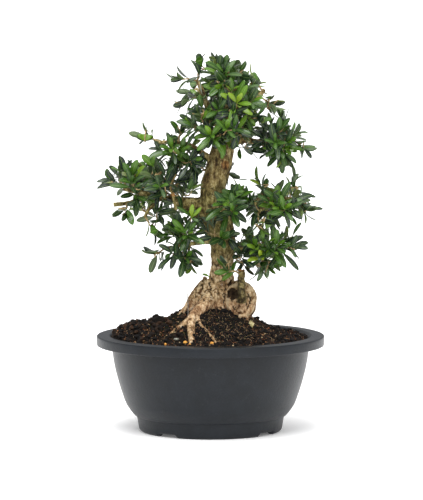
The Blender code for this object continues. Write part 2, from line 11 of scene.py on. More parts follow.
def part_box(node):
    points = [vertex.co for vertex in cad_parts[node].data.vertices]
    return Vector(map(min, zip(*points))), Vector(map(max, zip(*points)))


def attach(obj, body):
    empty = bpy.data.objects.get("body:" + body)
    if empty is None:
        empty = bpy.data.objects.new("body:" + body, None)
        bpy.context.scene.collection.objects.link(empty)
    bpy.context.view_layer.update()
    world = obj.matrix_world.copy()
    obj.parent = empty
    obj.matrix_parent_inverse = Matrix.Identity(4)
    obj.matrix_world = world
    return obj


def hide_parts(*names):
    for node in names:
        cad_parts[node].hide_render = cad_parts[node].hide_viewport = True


noise.seed_set(7)  # so that noise_vector gives the same wood in every run
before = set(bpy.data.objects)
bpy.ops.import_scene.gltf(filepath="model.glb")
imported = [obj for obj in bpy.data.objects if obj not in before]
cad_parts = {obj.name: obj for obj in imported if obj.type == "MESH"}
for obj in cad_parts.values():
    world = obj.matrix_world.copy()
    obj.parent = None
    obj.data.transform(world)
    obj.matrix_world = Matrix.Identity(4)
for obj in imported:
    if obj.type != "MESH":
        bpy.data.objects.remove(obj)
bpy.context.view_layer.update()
potLow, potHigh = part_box("pot")
soilLow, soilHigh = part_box("soil")
mm = 0.001


class Wire:  # one output of a shader tree; arithmetic on it adds Math nodes
    def __init__(self, tree, socket=None):
        self.tree = tree
        self.socket = socket

    def node(self, kind, settings=None, inputs=None, output=0):
        made = self.tree.nodes.new(kind)
        for name, value in (settings or {}).items():
            if name == "stops":
                setStops(made.color_ramp, value)
            else:
                setattr(made, name, value)
        for name, value in (inputs or {}).items():
            if isinstance(value, Wire):
                self.tree.links.new(value.socket, made.inputs[name])
            else:
                made.inputs[name].default_value = value
        return Wire(self.tree, made.outputs[output])

    def math(self, operation, *values):
        return self.node("ShaderNodeMath", {"operation": operation}, dict(enumerate(values)))

    def __add__(self, other):
        return self.math("ADD", self, other)

    def __sub__(self, other):
        return self.math("SUBTRACT", self, other)

    def __rsub__(self, other):
        return self.math("SUBTRACT", other, self)

    def __mul__(self, other):
        return self.math("MULTIPLY", self, other)

    __radd__ = __add__
    __rmul__ = __mul__

    def noise(self, at, scale, detail=4.0, roughness=0.55):
        inputs = {"Vector": at, "Scale": scale, "Detail": detail, "Roughness": roughness}
        return self.node("ShaderNodeTexNoise", {}, inputs, "Fac")

    def ramp(self, value, *stops):
        return self.node("ShaderNodeValToRGB", {"stops": stops}, {"Fac": value}, "Color")

    def step(self, value, low, high):
        inputs = {"Value": value, "From Min": low, "From Max": high}
        return self.node("ShaderNodeMapRange", {"interpolation_type": "SMOOTHSTEP"}, inputs)

    def mix(self, factor, first, second, blend="MIX"):
        settings = {"data_type": "RGBA", "blend_type": blend}
        return self.node("ShaderNodeMix", settings, {0: factor, 6: first, 7: second}, 2)

    def bump(self, height, distance, strength=1.0):
        inputs = {"Height": height, "Distance": distance, "Strength": strength}
        return self.node("ShaderNodeBump", {}, inputs, "Normal")


def setStops(ramp, stops):
    while len(ramp.elements) < len(stops):
        ramp.elements.new(0.5)
    for element, (place, colour) in zip(ramp.elements, stops):
        element.position = place
        element.color = colour


def rgb(code, alpha=1.0):  # a web colour as linear light
    parts = [int(code[i:i + 2], 16) / 255 for i in (0, 2, 4)]
    return tuple(c / 12.92 if c < 0.04045 else ((c + 0.055) / 1.055) ** 2.4 for c in parts) + (alpha,)


def newMaterial(name, paint, constants):
    made = bpy.data.materials.new(name)
    made.use_nodes = True
    tree = made.node_tree
    shader = tree.nodes["Principled BSDF"]
    for socket, value in constants.items():
        shader.inputs[socket].default_value = value
    root = Wire(tree)
    place = root.node("ShaderNodeTexCoord", {}, {}, "Object")
    for socket, wire in paint(root, place).items():
        tree.links.new(wire.socket, shader.inputs[socket])
    return made


def dataOf(root, name, output="Color"):
    return root.node("ShaderNodeAttribute", {"attribute_name": name}, {}, output)


def split(root, colour):
    return [root.node("ShaderNodeSeparateColor", {}, {"Color": colour}, i) for i in range(3)]


plainPaints = {  # noise, tones and relief of the finishes that hold nothing else
    "twig": ((350, 4, 0.7), ((0.3, "5c4a2c"), (0.5, "937b50"), (0.7, "cbb586")), (0.0005, 0.8)),
    "clod": ((300, 5, 0.7), ((0.35, "080706"), (0.55, "1c1612"), (0.72, "3a2a20")), (0.003, 1.0)),
    "grain": ((700, 3, 0.6), ((0.3, "a8641a"), (0.5, "d9922c"), (0.7, "f0bd5c")), (0.0003, 0.6)),
    "bead": ((500, 3, 0.6), ((0.35, "55574f"), (0.55, "8b8d80"), (0.7, "c9c9bb")), (0.0003, 0.5)),
    "stalk": ((500, 4, 0.7), ((0.3, "4b443c"), (0.55, "857c70"), (0.75, "b3aa9c")), (0.0005, 0.8)),
    "deadLeaf": ((260, 4, 0.6), ((0.3, "5f5630"), (0.5, "958a5c"), (0.7, "c4b98f")), (0.0006, 0.7)),
}


def plainPaint(kind):
    grain, tones, relief = plainPaints[kind]

    def paint(root, place):
        speck = root.noise(place, *grain)
        colour = root.ramp(speck, *[(at, rgb(code)) for at, code in tones])
        return {"Base Color": colour, "Normal": root.bump(speck, *relief)}

    return paint


def meshPiece(name, points, faces, materials, nodes=(), colours=None, faceSlots=None, smooth=True):
    mesh = bpy.data.meshes.new(name)
    mesh.from_pydata([tuple(p) for p in points], [], faces)
    if colours is not None:
        layer = mesh.color_attributes.new("grown", "FLOAT_COLOR", "POINT")
        layer.data.foreach_set("color", np.asarray(colours, dtype=np.float32).ravel())
    return register(name, mesh, materials, nodes, faceSlots, smooth)


def register(name, mesh, materials, nodes=(), faceSlots=None, smooth=True):
    for material in materials:
        mesh.materials.append(material)
    if faceSlots is not None:
        mesh.polygons.foreach_set("material_index", faceSlots)
    if smooth:
        mesh.shade_smooth()
    piece = bpy.data.objects.new(name, mesh)
    bpy.context.scene.collection.objects.link(piece)
    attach(piece, "root")
    if nodes:
        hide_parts(*nodes)
    return piece


def nodeMesh(name):  # a node's corners and triangles, welded
    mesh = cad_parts[name].data
    mesh.calc_loop_triangles()
    points = np.array([tuple(v.co) for v in mesh.vertices])
    keys, index = np.unique(np.round(points / 1e-6).astype(np.int64), axis=0, return_inverse=True)
    index = index.reshape(-1)
    merged = np.zeros((len(keys), 3))
    merged[index] = points
    triangles = [tuple(index[list(t.vertices)]) for t in mesh.loop_triangles]
    return merged, [t for t in triangles if len(set(t)) == 3]


def smoothstep(low, high, value):
    t = np.clip((value - low) / (high - low), 0, 1)
    return t * t * (3 - 2 * t)


def revolved(profile, segments):  # profile from the axis round to the axis, top to bottom outside
    points = []
    faces = []
    for radius, height in profile[1:-1]:
        for k in range(segments):
            angle = 2 * math.pi * k / segments
            points.append((radius * math.cos(angle), radius * math.sin(angle), height))
    rows = len(profile) - 2
    for row in range(rows - 1):
        for k in range(segments):
            a = row * segments + k
            b = row * segments + (k + 1) % segments
            faces.append((a, a + segments, b + segments, b))
    first = len(points)
    points += [(0, 0, profile[0][1]), (0, 0, profile[-1][1])]
    for k in range(segments):
        after = (k + 1) % segments
        faces.append((first, k, after))
        faces.append((first + 1, (rows - 1) * segments + after, (rows - 1) * segments + k))
    return np.array(points), faces


def roundedCorners(corners, steps=4):  # (radius, height, fillet) -> points with each corner as an arc
    points = [corners[0][:2]]
    for before, corner, after in zip(corners, corners[1:], corners[2:]):
        centre = Vector(corner[:2])
        toBefore = Vector(before[:2]) - centre
        toAfter = Vector(after[:2]) - centre
        fillet = min(corner[2], 0.45 * toBefore.length, 0.45 * toAfter.length)
        if fillet <= 0:
            points.append(tuple(centre))
            continue
        start = centre + toBefore.normalized() * fillet
        end = centre + toAfter.normalized() * fillet
        for k in range(steps + 1):
            t = k / steps
            points.append(tuple((1 - t) ** 2 * start + 2 * t * (1 - t) * centre + t * t * end))
    points.append(corners[-1][:2])
    return points


potSettings = {
    "segments": 240,
    "wall": 2.5 * mm,
    "rimWidth": 12.7 * mm,
    "rimChamfer": 6.5 * mm,
    "lip": 10.2 * mm,
    "wallInset": 15.4 * mm,
    "shoulderInset": 29.6 * mm,
    "shoulderHeight": 27.4 * mm,
    "ringHeight": 16 * mm,
    "ringRadius": 75 * mm,
    "footRadius": 70.5 * mm,
    "footWidth": 5 * mm,
    "footHeight": 5 * mm,
    "fullness": 1.6,
    "notches": 4,
    "notchHalf": 9.5 * mm,
    "notchSlope": 3 * mm,
    "notchHeight": 3 * mm,
    "notchTurn": math.radians(52.3 - 90),
    "drains": 6,
    "drainRadius": 4.5 * mm,
    "drainCircle": 40 * mm,
}


def sideRadius(height, top):
    s = potSettings
    rim = potHigh[0]
    share = min(1.0, max(0.0, (height - s["shoulderHeight"]) / (top - s["lip"] - s["shoulderHeight"])))
    low = rim - s["shoulderInset"]
    return rim - s["wallInset"] - (rim - s["wallInset"] - low) * (1 - share) ** s["fullness"]


def potPaint(root, place):
    mottling = root.noise(place, 55, 3)
    fine = root.noise(place, 900, 3, 0.6)
    dustNoise = root.noise(place, 160, 6, 0.7)
    height = root.node("ShaderNodeSeparateXYZ", {}, {"Vector": place}, "Z")
    dust = root.step(dustNoise, 0.56, 0.78) * 0.5 + root.step(height, 0.03, 0.0) * 0.12
    base = root.mix(root.step(mottling, 0.3, 0.7), rgb("0c1116"), rgb("12171d"))
    grit = root.step(root.noise(place, 2600, 2, 0.5), 0.56, 0.7)
    colour = root.mix(dust * 0.2 + grit * 0.1, base, rgb("5a5d62"))
    roughness = 0.34 + 0.1 * mottling + 0.2 * dust
    return {"Base Color": colour, "Roughness": roughness,
            "Normal": root.bump(fine * 0.6 + root.noise(place, 240, 2) * 0.4, 0.0004, 0.7)}


def makePot():
    s = potSettings
    rim, top = potHigh[0], potHigh[2]
    inner = s["ringRadius"] - s["wall"]
    floorTop = s["footHeight"] + s["wall"]
    lipFoot = top - s["lip"]
    heights = [lipFoot + (s["shoulderHeight"] - lipFoot) * k / 9 for k in range(10)]
    corners = [(0, floorTop, 0), (inner - 2 * mm, floorTop, 2 * mm), (inner, s["ringHeight"], 1 * mm)]
    corners += [(sideRadius(h, top) - s["wall"], h, 0) for h in reversed(heights)]
    corners += [(sideRadius(top, top) - s["wall"], top - s["rimChamfer"], 1 * mm),
                (rim - s["rimWidth"], top, 1.2 * mm),
                (rim - 2.4 * mm, top - 0.15 * mm, 0.4 * mm),
                (rim, top - 0.5 * mm, 1.3 * mm),
                (rim - 0.1 * mm, lipFoot, 0.9 * mm),
                (rim - s["wall"], lipFoot, 0.8 * mm),
                (rim - s["wall"], top - s["wall"], 1 * mm),
                (rim - s["wallInset"] + 2 * s["wall"], top - s["wall"], 1.5 * mm),
                (rim - s["wallInset"] + 0.2 * mm, top - 3 * s["wall"], 1.5 * mm)]
    corners += [(sideRadius(h, top), h, 0) for h in heights[:-1]]
    shoulder = rim - s["shoulderInset"]
    corners += [(shoulder, s["shoulderHeight"], 5 * mm),
                (shoulder - 4.6 * mm, s["shoulderHeight"] - 6.8 * mm, 4 * mm),
                (s["ringRadius"] + 1.7 * mm, s["ringHeight"], 1.0 * mm),
                (s["ringRadius"] + 0.1 * mm, s["ringHeight"] - 0.4 * mm, 0.5 * mm),
                (s["ringRadius"] - 0.8 * mm, s["ringHeight"] - 3 * mm, 1 * mm),
                (s["footRadius"] + 1.9 * mm, 2.2 * mm, 1.6 * mm),
                (s["footRadius"], 0, 1.2 * mm),
                (s["footRadius"] - s["footWidth"], 0, 1 * mm),
                (s["footRadius"] - s["footWidth"] - 1 * mm, s["footHeight"], 1 * mm),
                (0, s["footHeight"], 0)]
    points, faces = revolved(roundedCorners(corners), s["segments"])
    radius = np.hypot(points[:, 0], points[:, 1])
    angle = np.arctan2(points[:, 1], points[:, 0])
    lift = np.zeros(len(points))
    for k in range(s["notches"]):
        centre = s["notchTurn"] + k * 2 * math.pi / s["notches"]
        away = np.abs((angle - centre + math.pi) % (2 * math.pi) - math.pi) * s["footRadius"]
        lift = np.maximum(lift, 1 - smoothstep(s["notchHalf"], s["notchHalf"] + s["notchSlope"], away))
    lift *= s["notchHeight"]
    ring = (points[:, 2] < s["ringHeight"]) & (radius > s["footRadius"] - s["footWidth"] - 2 * mm)
    squeeze = np.clip(1 - points[:, 2] / (2.5 * s["notchHeight"]), 0, 1)
    points[:, 2] += np.where(ring & (radius > inner - 12 * mm) & (points[:, 2] < s["footHeight"] + 2 * mm),
                             lift * squeeze, 0)
    pot = meshPiece("pot_shell", points, faces, [potPlastic], ["pot"])
    drillDrains(pot)
    return pot


def drillDrains(pot):
    s = potSettings
    drills = bmesh.new()
    for k in range(s["drains"]):
        angle = 2 * math.pi * (k + 0.5) / s["drains"]
        made = bmesh.ops.create_cone(drills, cap_ends=True, segments=32, radius1=s["drainRadius"],
                                     radius2=s["drainRadius"], depth=4 * s["wall"])
        place = Vector((math.cos(angle), math.sin(angle), 0)) * s["drainCircle"]
        place.z = s["footHeight"] + s["wall"] / 2
        bmesh.ops.translate(drills, verts=made["verts"], vec=place)
    mesh = bpy.data.meshes.new("drill")
    drills.to_mesh(mesh)
    drills.free()
    drill = bpy.data.objects.new("drill", mesh)
    bpy.context.scene.collection.objects.link(drill)
    cut = pot.modifiers.new("drains", "BOOLEAN")
    cut.operation = "DIFFERENCE"
    cut.object = drill
    applyModifiers(pot)
    bpy.data.objects.remove(drill, do_unlink=True)


def applyModifiers(piece):
    bpy.context.view_layer.update()
    evaluated = piece.evaluated_get(bpy.context.evaluated_depsgraph_get())
    mesh = bpy.data.meshes.new_from_object(evaluated, preserve_all_data_layers=True,
                                           depsgraph=bpy.context.evaluated_depsgraph_get())
    piece.modifiers.clear()
    piece.data = mesh
    mesh.shade_smooth()


soilSettings = {
    "rings": 130,
    "segments": 420,
    "edgeDepth": 4.5 * mm,
    "moundHeight": 36.5 * mm,
    "reachX": 55 * mm,
    "reachY": 50 * mm,
    "centreX": 2 * mm,
    "gap": 0.3 * mm,
    "lumps": 3.0 * mm,
    "crumbs": 1.7 * mm,
    "clods": 4.5 * mm,
    "chipTilt": 0.6,
    "chipSink": 0.15,
    "brim": 2.8 * mm,  # how much fuller the pot is at the wall
    "brimFade": (0, 55 * mm),  # it is less full on the right
    "heaps": (  # middle, reach and height, in millimetres
        (-78, -6, 22, 34, 10.5),
        (-52, -2, 7, 12, 6.0),
        (-62, -24, 9, 10, 3.5),
        (-88, -18, 8, 14, 2.5),
        (-27, -7, 18, 18, 2.0),
        (-40, -34, 16, 14, 2.5),
        (52, -22, 22, 20, 2.0),
    ),
}


def groundHeight(x, y):
    s = soilSettings
    edge = potHigh[2] - s["edgeDepth"]
    across, deep = (x - s["centreX"]) / s["reachX"], y / s["reachY"]
    return edge + s["moundHeight"] * math.exp(-across ** 2 - deep ** 2)


def brimAt(x):
    s = soilSettings
    return s["brim"] * (1 - 0.95 * float(smoothstep(*s["brimFade"], x)))


def soilSurface(x, y):  # the rough surface that shows
    s = soilSettings
    place = Vector((x, y, 0)) / mm
    lumps = noise.fractal(place * 0.055, 0.9, 2.1, 4)
    crumbs = noise.fractal(place * 0.3 + Vector((7, 3, 1)), 0.7, 2.2, 4)
    clods = 0.5 - noise.voronoi(place * 0.16 + Vector((2, 9, 4)))[0][0]
    pile = sum(height * mm * math.exp(-((place.x - atX) / reachX) ** 2 - ((place.y - atY) / reachY) ** 2)
               for atX, atY, reachX, reachY, height in s["heaps"])
    edge = potHigh[0] - potSettings["wallInset"]
    calm = 1 - 0.8 * float(smoothstep(edge - 9 * mm, edge, math.hypot(x, y)))
    left = 1 + 0.8 * float(smoothstep(-25 * mm, -50 * mm, x))
    rough = left * (s["lumps"] * lumps * 0.6 + s["crumbs"] * crumbs + s["clods"] * max(-0.2, clods))
    brim = brimAt(x) * float(smoothstep(edge - 22 * mm, edge, math.hypot(x, y)))
    return groundHeight(x, y) + (rough + pile) * calm + brim - 0.6 * mm


def soilPaint(root, place):
    patch = root.noise(place, 70, 5, 0.6)
    grains = root.noise(place, 420, 4, 0.7)
    colour = root.ramp(patch, (0.3, rgb("0a0807")), (0.5, rgb("15110d")), (0.64, rgb("261c15")),
                       (0.78, rgb("3c2a1e")))
    colour = root.mix(root.step(grains, 0.6, 0.74) * 0.5, colour, rgb("6b4a33"))
    colour = root.mix(root.step(grains, 0.48, 0.3) * 0.7, colour, rgb("080605"))
    return {"Base Color": colour, "Normal": root.bump(grains + patch * 0.5, 0.0015, 0.9)}


def chipPaint(root, place):
    grown = split(root, dataOf(root, "grown"))
    grain = root.noise(place, 600, 4, 0.7)
    colour = root.ramp(grown[0], (0.0, rgb("0b0807")), (0.25, rgb("201710")), (0.5, rgb("46301f")),
                       (0.7, rgb("7d4a2f")), (0.84, rgb("9a7450")), (1.0, rgb("cdb48c")))
    colour = root.mix(root.step(grain, 0.35, 0.7) * 0.5, colour, rgb("1a110c"), "MULTIPLY")
    return {"Base Color": colour, "Normal": root.bump(grain, 0.0006, 0.8)}


def mossPaint(root, place):
    grown = split(root, dataOf(root, "grown"))
    speck = root.noise(place, 800, 3, 0.7)
    colour = root.ramp(grown[0], (0.0, rgb("262b12")), (0.5, rgb("474c20")), (1.0, rgb("7d8040")))
    colour = root.mix(root.step(speck, 0.4, 0.6) * 0.5, colour, rgb("20260d"))
    return {"Base Color": colour, "Normal": root.bump(speck, 0.0006, 0.8)}


def makeSoil():
    s = soilSettings
    top = potHigh[2]
    rim = potHigh[0]
    edgeHeight = top - s["edgeDepth"] + s["brim"]
    wallTop = sideRadius(top, top) - potSettings["wall"]
    slope = (rim - potSettings["rimWidth"] - wallTop) / potSettings["rimChamfer"]
    edge = wallTop + slope * (edgeHeight - top + potSettings["rimChamfer"]) - s["gap"]
    profile = [(0, edgeHeight)]
    profile += [(edge * (k / s["rings"]), edgeHeight) for k in range(1, s["rings"])]
    profile += [(edge, edgeHeight)]
    for k in range(8):
        start = top - potSettings["rimChamfer"] - 1 * mm
        height = start - (start - potSettings["shoulderHeight"]) * k / 7
        profile.append((sideRadius(height, top) - potSettings["wall"] - s["gap"], height))
    inner = potSettings["ringRadius"] - potSettings["wall"]
    profile += [(inner - s["gap"], potSettings["ringHeight"]), (inner - 4 * mm, soilLow[2] + 1 * mm),
                (inner - 6 * mm, soilLow[2]), (0, soilLow[2])]
    points, faces = revolved(profile, s["segments"])
    for point in points:
        if abs(point[2] - edgeHeight) < 1e-6:
            lower = s["brim"] - brimAt(point[0])
            blend = smoothstep(edge - 1.5 * mm, edge, math.hypot(point[0], point[1]))
            point[:2] *= 1 - slope * lower / edge
            height = soilSurface(point[0], point[1])
            point[2] = height * (1 - blend) + (edgeHeight - lower - 0.3 * mm) * blend
    return meshPiece("soil_bed", points, faces, [pottingSoil], ["soil"])


def lumpPoints(dice, size, flat, rough, steps=1):
    ball = bmesh.new()
    bmesh.ops.create_icosphere(ball, subdivisions=steps, radius=0.5)
    stretch = Vector((dice.uniform(0.7, 1.3), dice.uniform(0.6, 1.0), flat * dice.uniform(0.7, 1.2)))
    points = []
    for vertex in ball.verts:
        wobble = 1 + dice.uniform(-rough, rough)
        points.append(Vector((vertex.co.x * stretch.x, vertex.co.y * stretch.y,
                              vertex.co.z * stretch.z)) * size * wobble)
    faces = [tuple(v.index for v in face.verts) for face in ball.faces]
    ball.free()
    return points, faces


def randomTurn(dice, tilt):
    turn = Quaternion((0, 0, 1), dice.uniform(0, 2 * math.pi))
    lean = Quaternion((math.cos(dice.uniform(0, 6.3)), math.sin(dice.uniform(0, 6.3)), 0),
                      dice.uniform(-tilt, tilt))
    return lean @ turn


spotSettings = {  # middle and spread of each patch, in millimetres
    "reach": 98 * mm,
    "inside": 97.5 * mm,
    "left": ((-66, 16), (-12, 26)),
    "front": ((14, 17), (-46, 13)),
    "mossLeft": ((-42, 13), (-24, 14)),
    "mossFront": ((12, 18), (-42, 12)),
    "mossShare": 0.55,
}


def anywhere(dice):
    radius = spotSettings["reach"] * math.sqrt(dice.random())
    angle = dice.uniform(0, 2 * math.pi)
    return radius * math.cos(angle), radius * math.sin(angle)


def patchSpot(dice, patch):  # pulled back to the soil inside the rim
    x, y = [dice.gauss(*spread) * mm for spread in spotSettings[patch]]
    share = min(1.0, spotSettings["inside"] / max(math.hypot(x, y), 1 * mm))
    return x * share, y * share


def leftSlope(dice):
    return patchSpot(dice, "left")


def frontSlope(dice):
    return patchSpot(dice, "front")


def mossSlope(dice):
    return patchSpot(dice, "mossLeft" if dice.random() < spotSettings["mossShare"] else "mossFront")


def scatterChips(name, count, sizes, flat, rough, tones, material, seed, spot, steps=1):
    dice = random.Random(seed)
    points = []
    faces = []
    colours = []
    for _ in range(count):
        size = dice.uniform(*sizes)
        x, y = spot(dice)
        ground = Vector((x, y, soilSurface(x, y)))
        shape, sides = lumpPoints(dice, size, flat, rough, steps)
        turn = randomTurn(dice, soilSettings["chipTilt"])
        lift = size * flat * (0.5 - soilSettings["chipSink"])
        tone = dice.uniform(*tones)
        start = len(points)
        for point in shape:
            points.append(turn @ point + ground + Vector((0, 0, lift)))
            colours.append((tone, dice.random(), 0, 1))
        faces += [tuple(start + i for i in side) for side in sides]
    return meshPiece(name, points, faces, [material], (), colours, smooth=False)


def fibrePiece(name, count, lengths, radius, tones, seed, spot):
    dice = random.Random(seed)
    points = []
    faces = []
    colours = []
    for _ in range(count):
        x, y = spot(dice)
        heading = dice.uniform(0, 2 * math.pi)
        length = dice.uniform(*lengths)
        bend = dice.uniform(-1.4, 1.4)
        line = []
        for k in range(6):
            t = k / 5
            angle = heading + bend * t
            x += math.cos(angle) * length / 5
            y += math.sin(angle) * length / 5
            line.append(Vector((x, y, soilSurface(x, y) + radius * 0.8 + 1.2 * mm * math.sin(math.pi * t))))
        if math.hypot(x, y) > 92 * mm:
            continue
        tone = dice.uniform(*tones)
        addTube(points, faces, line, [radius * (1 - 0.5 * k / 5) for k in range(6)], 4)
        colours += [(tone, 0, 0, 1)] * (len(points) - len(colours))
    return meshPiece(name, points, faces, [chipBark], (), colours)


def addTube(points, faces, line, radii, sides, wobble=None):
    start = len(points)
    heading = (line[1] - line[0]).normalized()
    across = heading.orthogonal().normalized()
    for i, (centre, radius) in enumerate(zip(line, radii)):
        ahead = line[min(i + 1, len(line) - 1)] - line[max(i - 1, 0)]
        heading = ahead.normalized()
        across = (across - heading * across.dot(heading)).normalized()
        other = heading.cross(across)
        for k in range(sides):
            angle = 2 * math.pi * k / sides
            reach = radius * (1 + (wobble.uniform(-0.12, 0.12) if wobble else 0))
            points.append(centre + (across * math.cos(angle) + other * math.sin(angle)) * reach)
    for i in range(len(line) - 1):
        for k in range(sides):
            after = (k + 1) % sides
            a = start + i * sides
            faces.append((a + k, a + after, a + sides + after, a + sides + k))
    last = start + (len(line) - 1) * sides
    faces.append(tuple(start + k for k in reversed(range(sides))))
    faces.append(tuple(last + k for k in range(sides)))


looseSoil = {  # count, sizes, flatness, roughness, tones, finish, seed, spot and rounding
    "soil_crumbs": (5600, (0.8 * mm, 2.4 * mm), 0.85, 0.4, (-0.25, 0.5), "soil_chips", 31, anywhere, 1),
    "soil_clods": (340, (2.2 * mm, 5.2 * mm), 0.8, 0.28, (-0.1, 0.25), "soil_chips", 34, anywhere, 2),
    "soil_heap": (560, (1.6 * mm, 5.6 * mm), 0.9, 0.36, (-0.15, 0.5), "soil_chips", 35, leftSlope, 2),
    "bark_chips": (620, (1.4 * mm, 4.6 * mm), 0.26, 0.3, (0.25, 0.85), "soil_chips", 32, anywhere, 1),
    "coir_bits": (1300, (0.7 * mm, 2.6 * mm), 0.6, 0.35, (0.45, 1.0), "soil_chips", 39, leftSlope, 1),
    "pale_flecks": (480, (0.8 * mm, 2.2 * mm), 0.5, 0.3, (0.75, 1.0), "soil_chips", 37, anywhere, 1),
    "moss_tufts": (900, (0.6 * mm, 1.7 * mm), 0.9, 0.4, (-0.3, 0.5), "moss", 36, mossSlope, 1),
    "dark_soil": (1500, (0.9 * mm, 2.8 * mm), 0.85, 0.4, (-0.4, 0.08), "soil_chips", 40, frontSlope, 1),
}
looseFibres = {  # count, lengths, radius, tones, seed and spot
    "soil_fibres": (420, (3 * mm, 14 * mm), 0.16 * mm, (0.5, 1.0), 33, anywhere),
    "front_roots": (260, (4 * mm, 13 * mm), 0.14 * mm, (0.72, 1.0), 38, frontSlope),
}


def scatterLooseSoil():
    for name, (count, sizes, flat, rough, tones, finish, seed, spot, steps) in looseSoil.items():
        material = bpy.data.materials[finish]
        scatterChips(name, count, sizes, flat, rough, tones, material, seed, spot, steps)
    for name, values in looseFibres.items():
        fibrePiece(name, *values)


woodSettings = {
    "voxel": 0.65 * mm,
    "swell": 0.28 * mm,
    "softenings": 7,
    "foot": 129 * mm,  # height of the soil at the trunk; the next ranges are heights over it
    "flare": (28 * mm, 66 * mm),
    "rootTop": (-2 * mm, 10 * mm),
    "thinned": (-20 * mm, -3 * mm),
    "middle": (44 * mm, 66 * mm),
    "upper": (105 * mm, 128 * mm),
    "mossy": (34 * mm, 70 * mm),
    "thinning": 0.6,
    "stemMiddle": 9 * mm,
    "stemEdge": (17 * mm, 26 * mm),
    "front": (-4 * mm, -9 * mm),
    "burr": (30.4, -8, 132.8),  # places here are in millimetres
    "burrHalf": (15.2, 19),
    "burrLip": 1.9,
    "burrGroove": 0.7,
    "burrHollow": 2.6 * mm,
    "hole": (22.8, 0, 139.5),
    "holeEdge": (4.6 * mm, 6.0 * mm),
    "holeRim": 6.6 * mm,
    "holeReach": 7.4 * mm,
    "holeDepth": 4.5 * mm,
    "scar": (14.3, -12, 269.5),
    "scarEdge": (3.6 * mm, 5.8 * mm),
    "bud": (-37.5, -24, 240.5),
    "budEdge": (1.2 * mm, 3.4 * mm),
    "stub": (31.3, -22.5),
    "stubReach": 6.2,
    "stubTop": (31, -24, 165),
    "forks": (  # where a limb swells into the stem: stations and radius, in millimetres
        ((7, 0, 208, 11), (-4, -2, 220, 13), (-14, -3, 226, 11), (-23, -5, 227, 7.6), (-36, -7, 231, 3.4)),
        ((12, 0, 219, 8), (20, -2, 224, 6), (30, -4, 226, 3.6)),
    ),
}


def woodPaint(root, place):
    # relief carries the painted shade and the painted highlight of the bark
    relief, pale, moss = split(root, dataOf(root, "grown"))
    cut = dataOf(root, "grown", "Alpha")
    stretch = root.node("ShaderNodeMapping", {}, {"Vector": place, "Scale": (1, 1, 0.55)})
    patch = root.noise(stretch, 60, 4, 0.6)
    fine = root.noise(stretch, 420, 6, 0.75)
    blotch = root.noise(stretch, 210, 3, 0.5)
    speck = root.noise(place, 1100, 3, 0.6)
    tone = patch * 0.2 + blotch * 0.35 + fine * 0.3 + speck * 0.15
    upper = root.ramp(tone, (0.38, rgb("21190c")), (0.45, rgb("554a27")), (0.51, rgb("857845")),
                      (0.57, rgb("b8aa70")), (0.66, rgb("dccfa0")))
    lower = root.ramp(tone, (0.38, rgb("38241a")), (0.45, rgb("78563a")), (0.51, rgb("ab8862")),
                      (0.57, rgb("d2b591")), (0.66, rgb("f2e4cb")))
    colour = root.mix(pale, upper, lower)
    colour = root.mix(moss * root.step(patch, 0.42, 0.58) * 0.5, colour, rgb("4c5424"))
    # painted shade: near-black brown where relief is low, in the bark's crevices, the burr's grooves and
    # hollow and the knot hole
    colour = root.mix(root.step(relief, 0.4, 0.12) * 0.88, colour, rgb("1f160d"))
    # painted highlight: pale tan where relief is high, on the raised warts and the burr's lip
    colour = root.mix(root.step(relief, 0.6, 0.9) * 0.55, colour, rgb("e0caa4"))
    colour = root.mix(root.step(speck, 0.58, 0.7) * 0.3, colour, rgb("241b10"))
    orange = root.mix(root.step(tone, 0.44, 0.56), rgb("3d2411"), rgb("a4723f"))
    colour = root.mix(root.step(cut + (blotch - 0.5) * 1.8, 0.7, 0.2) * 0.8, colour, orange)
    return {"Base Color": colour, "Roughness": 0.7 + 0.25 * fine,
            "Normal": root.bump(fine * 0.6 + speck * 0.4, 0.002, 1.0)}


def copiedWood():
    names = ["trunk"] + sorted(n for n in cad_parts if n.startswith("branch_"))
    points = []
    faces = []
    for stations in woodSettings["forks"]:
        line = smoothLine([Vector(station[:3]) * mm for station in stations], 9)
        along = np.linspace(0, 1, len(stations))
        radii = np.interp(np.linspace(0, 1, 9), along, [station[3] * mm for station in stations])
        addTube(points, faces, line, radii, 16)
    for name in names:
        corners, triangles = nodeMesh(name)
        start = len(points)
        points += [Vector(c) for c in corners]
        faces += [tuple(int(i) + start for i in t) for t in triangles]
    return names, points, faces


def barkRelief(point):
    place = point / mm
    tall = Vector((place.x, place.y, place.z * 0.4))
    ridges = noise.noise(tall * 0.22 + Vector((1, 8, 3))) + 0.5 * noise.noise(tall * 0.55)
    fine = noise.noise(place * 0.9)
    bent = place + 2.2 * noise.noise_vector(place * 0.25)
    bent.z *= 0.75
    wart = 1 - float(smoothstep(0.25, 0.75, noise.voronoi(bent * 0.34)[0][0]))
    return ridges, fine, wart


def nearStub(point):
    s = woodSettings
    sideways = math.hypot(point.x / mm - s["stub"][0], point.y / mm - s["stub"][1])
    return point.z > s["foot"] - 8 * mm and sideways < s["stubReach"]


def shapeBurr(point, rise, relief, front):  # its callus ring, the hollow inside and two grooves
    s = woodSettings
    burr = Vector(s["burr"]) * mm
    wide, tall = s["burrHalf"]
    ring = math.hypot((point.x - burr.x) / (wide * mm), (point.z - burr.z) / (tall * mm))
    if ring >= 1.4 or front <= 0 or nearStub(point):
        return point, rise, relief
    lip = math.exp(-((ring - 0.84) / 0.15) ** 2) * front
    hollow = (1 - float(smoothstep(0.4, 0.68, ring))) * front
    groove = math.exp(-((ring - 0.6) / 0.05) ** 2) + math.exp(-((ring - 1.1) / 0.06) ** 2)
    rise += s["burrLip"] * lip
    rise -= s["burrGroove"] * groove * front
    # painted highlight on the callus lip, painted shade in the hollow and the two grooves
    relief += 0.3 * lip - 0.12 * hollow - 0.45 * groove * front
    return point + Vector((0, s["burrHollow"] * hollow, 0)), rise, relief


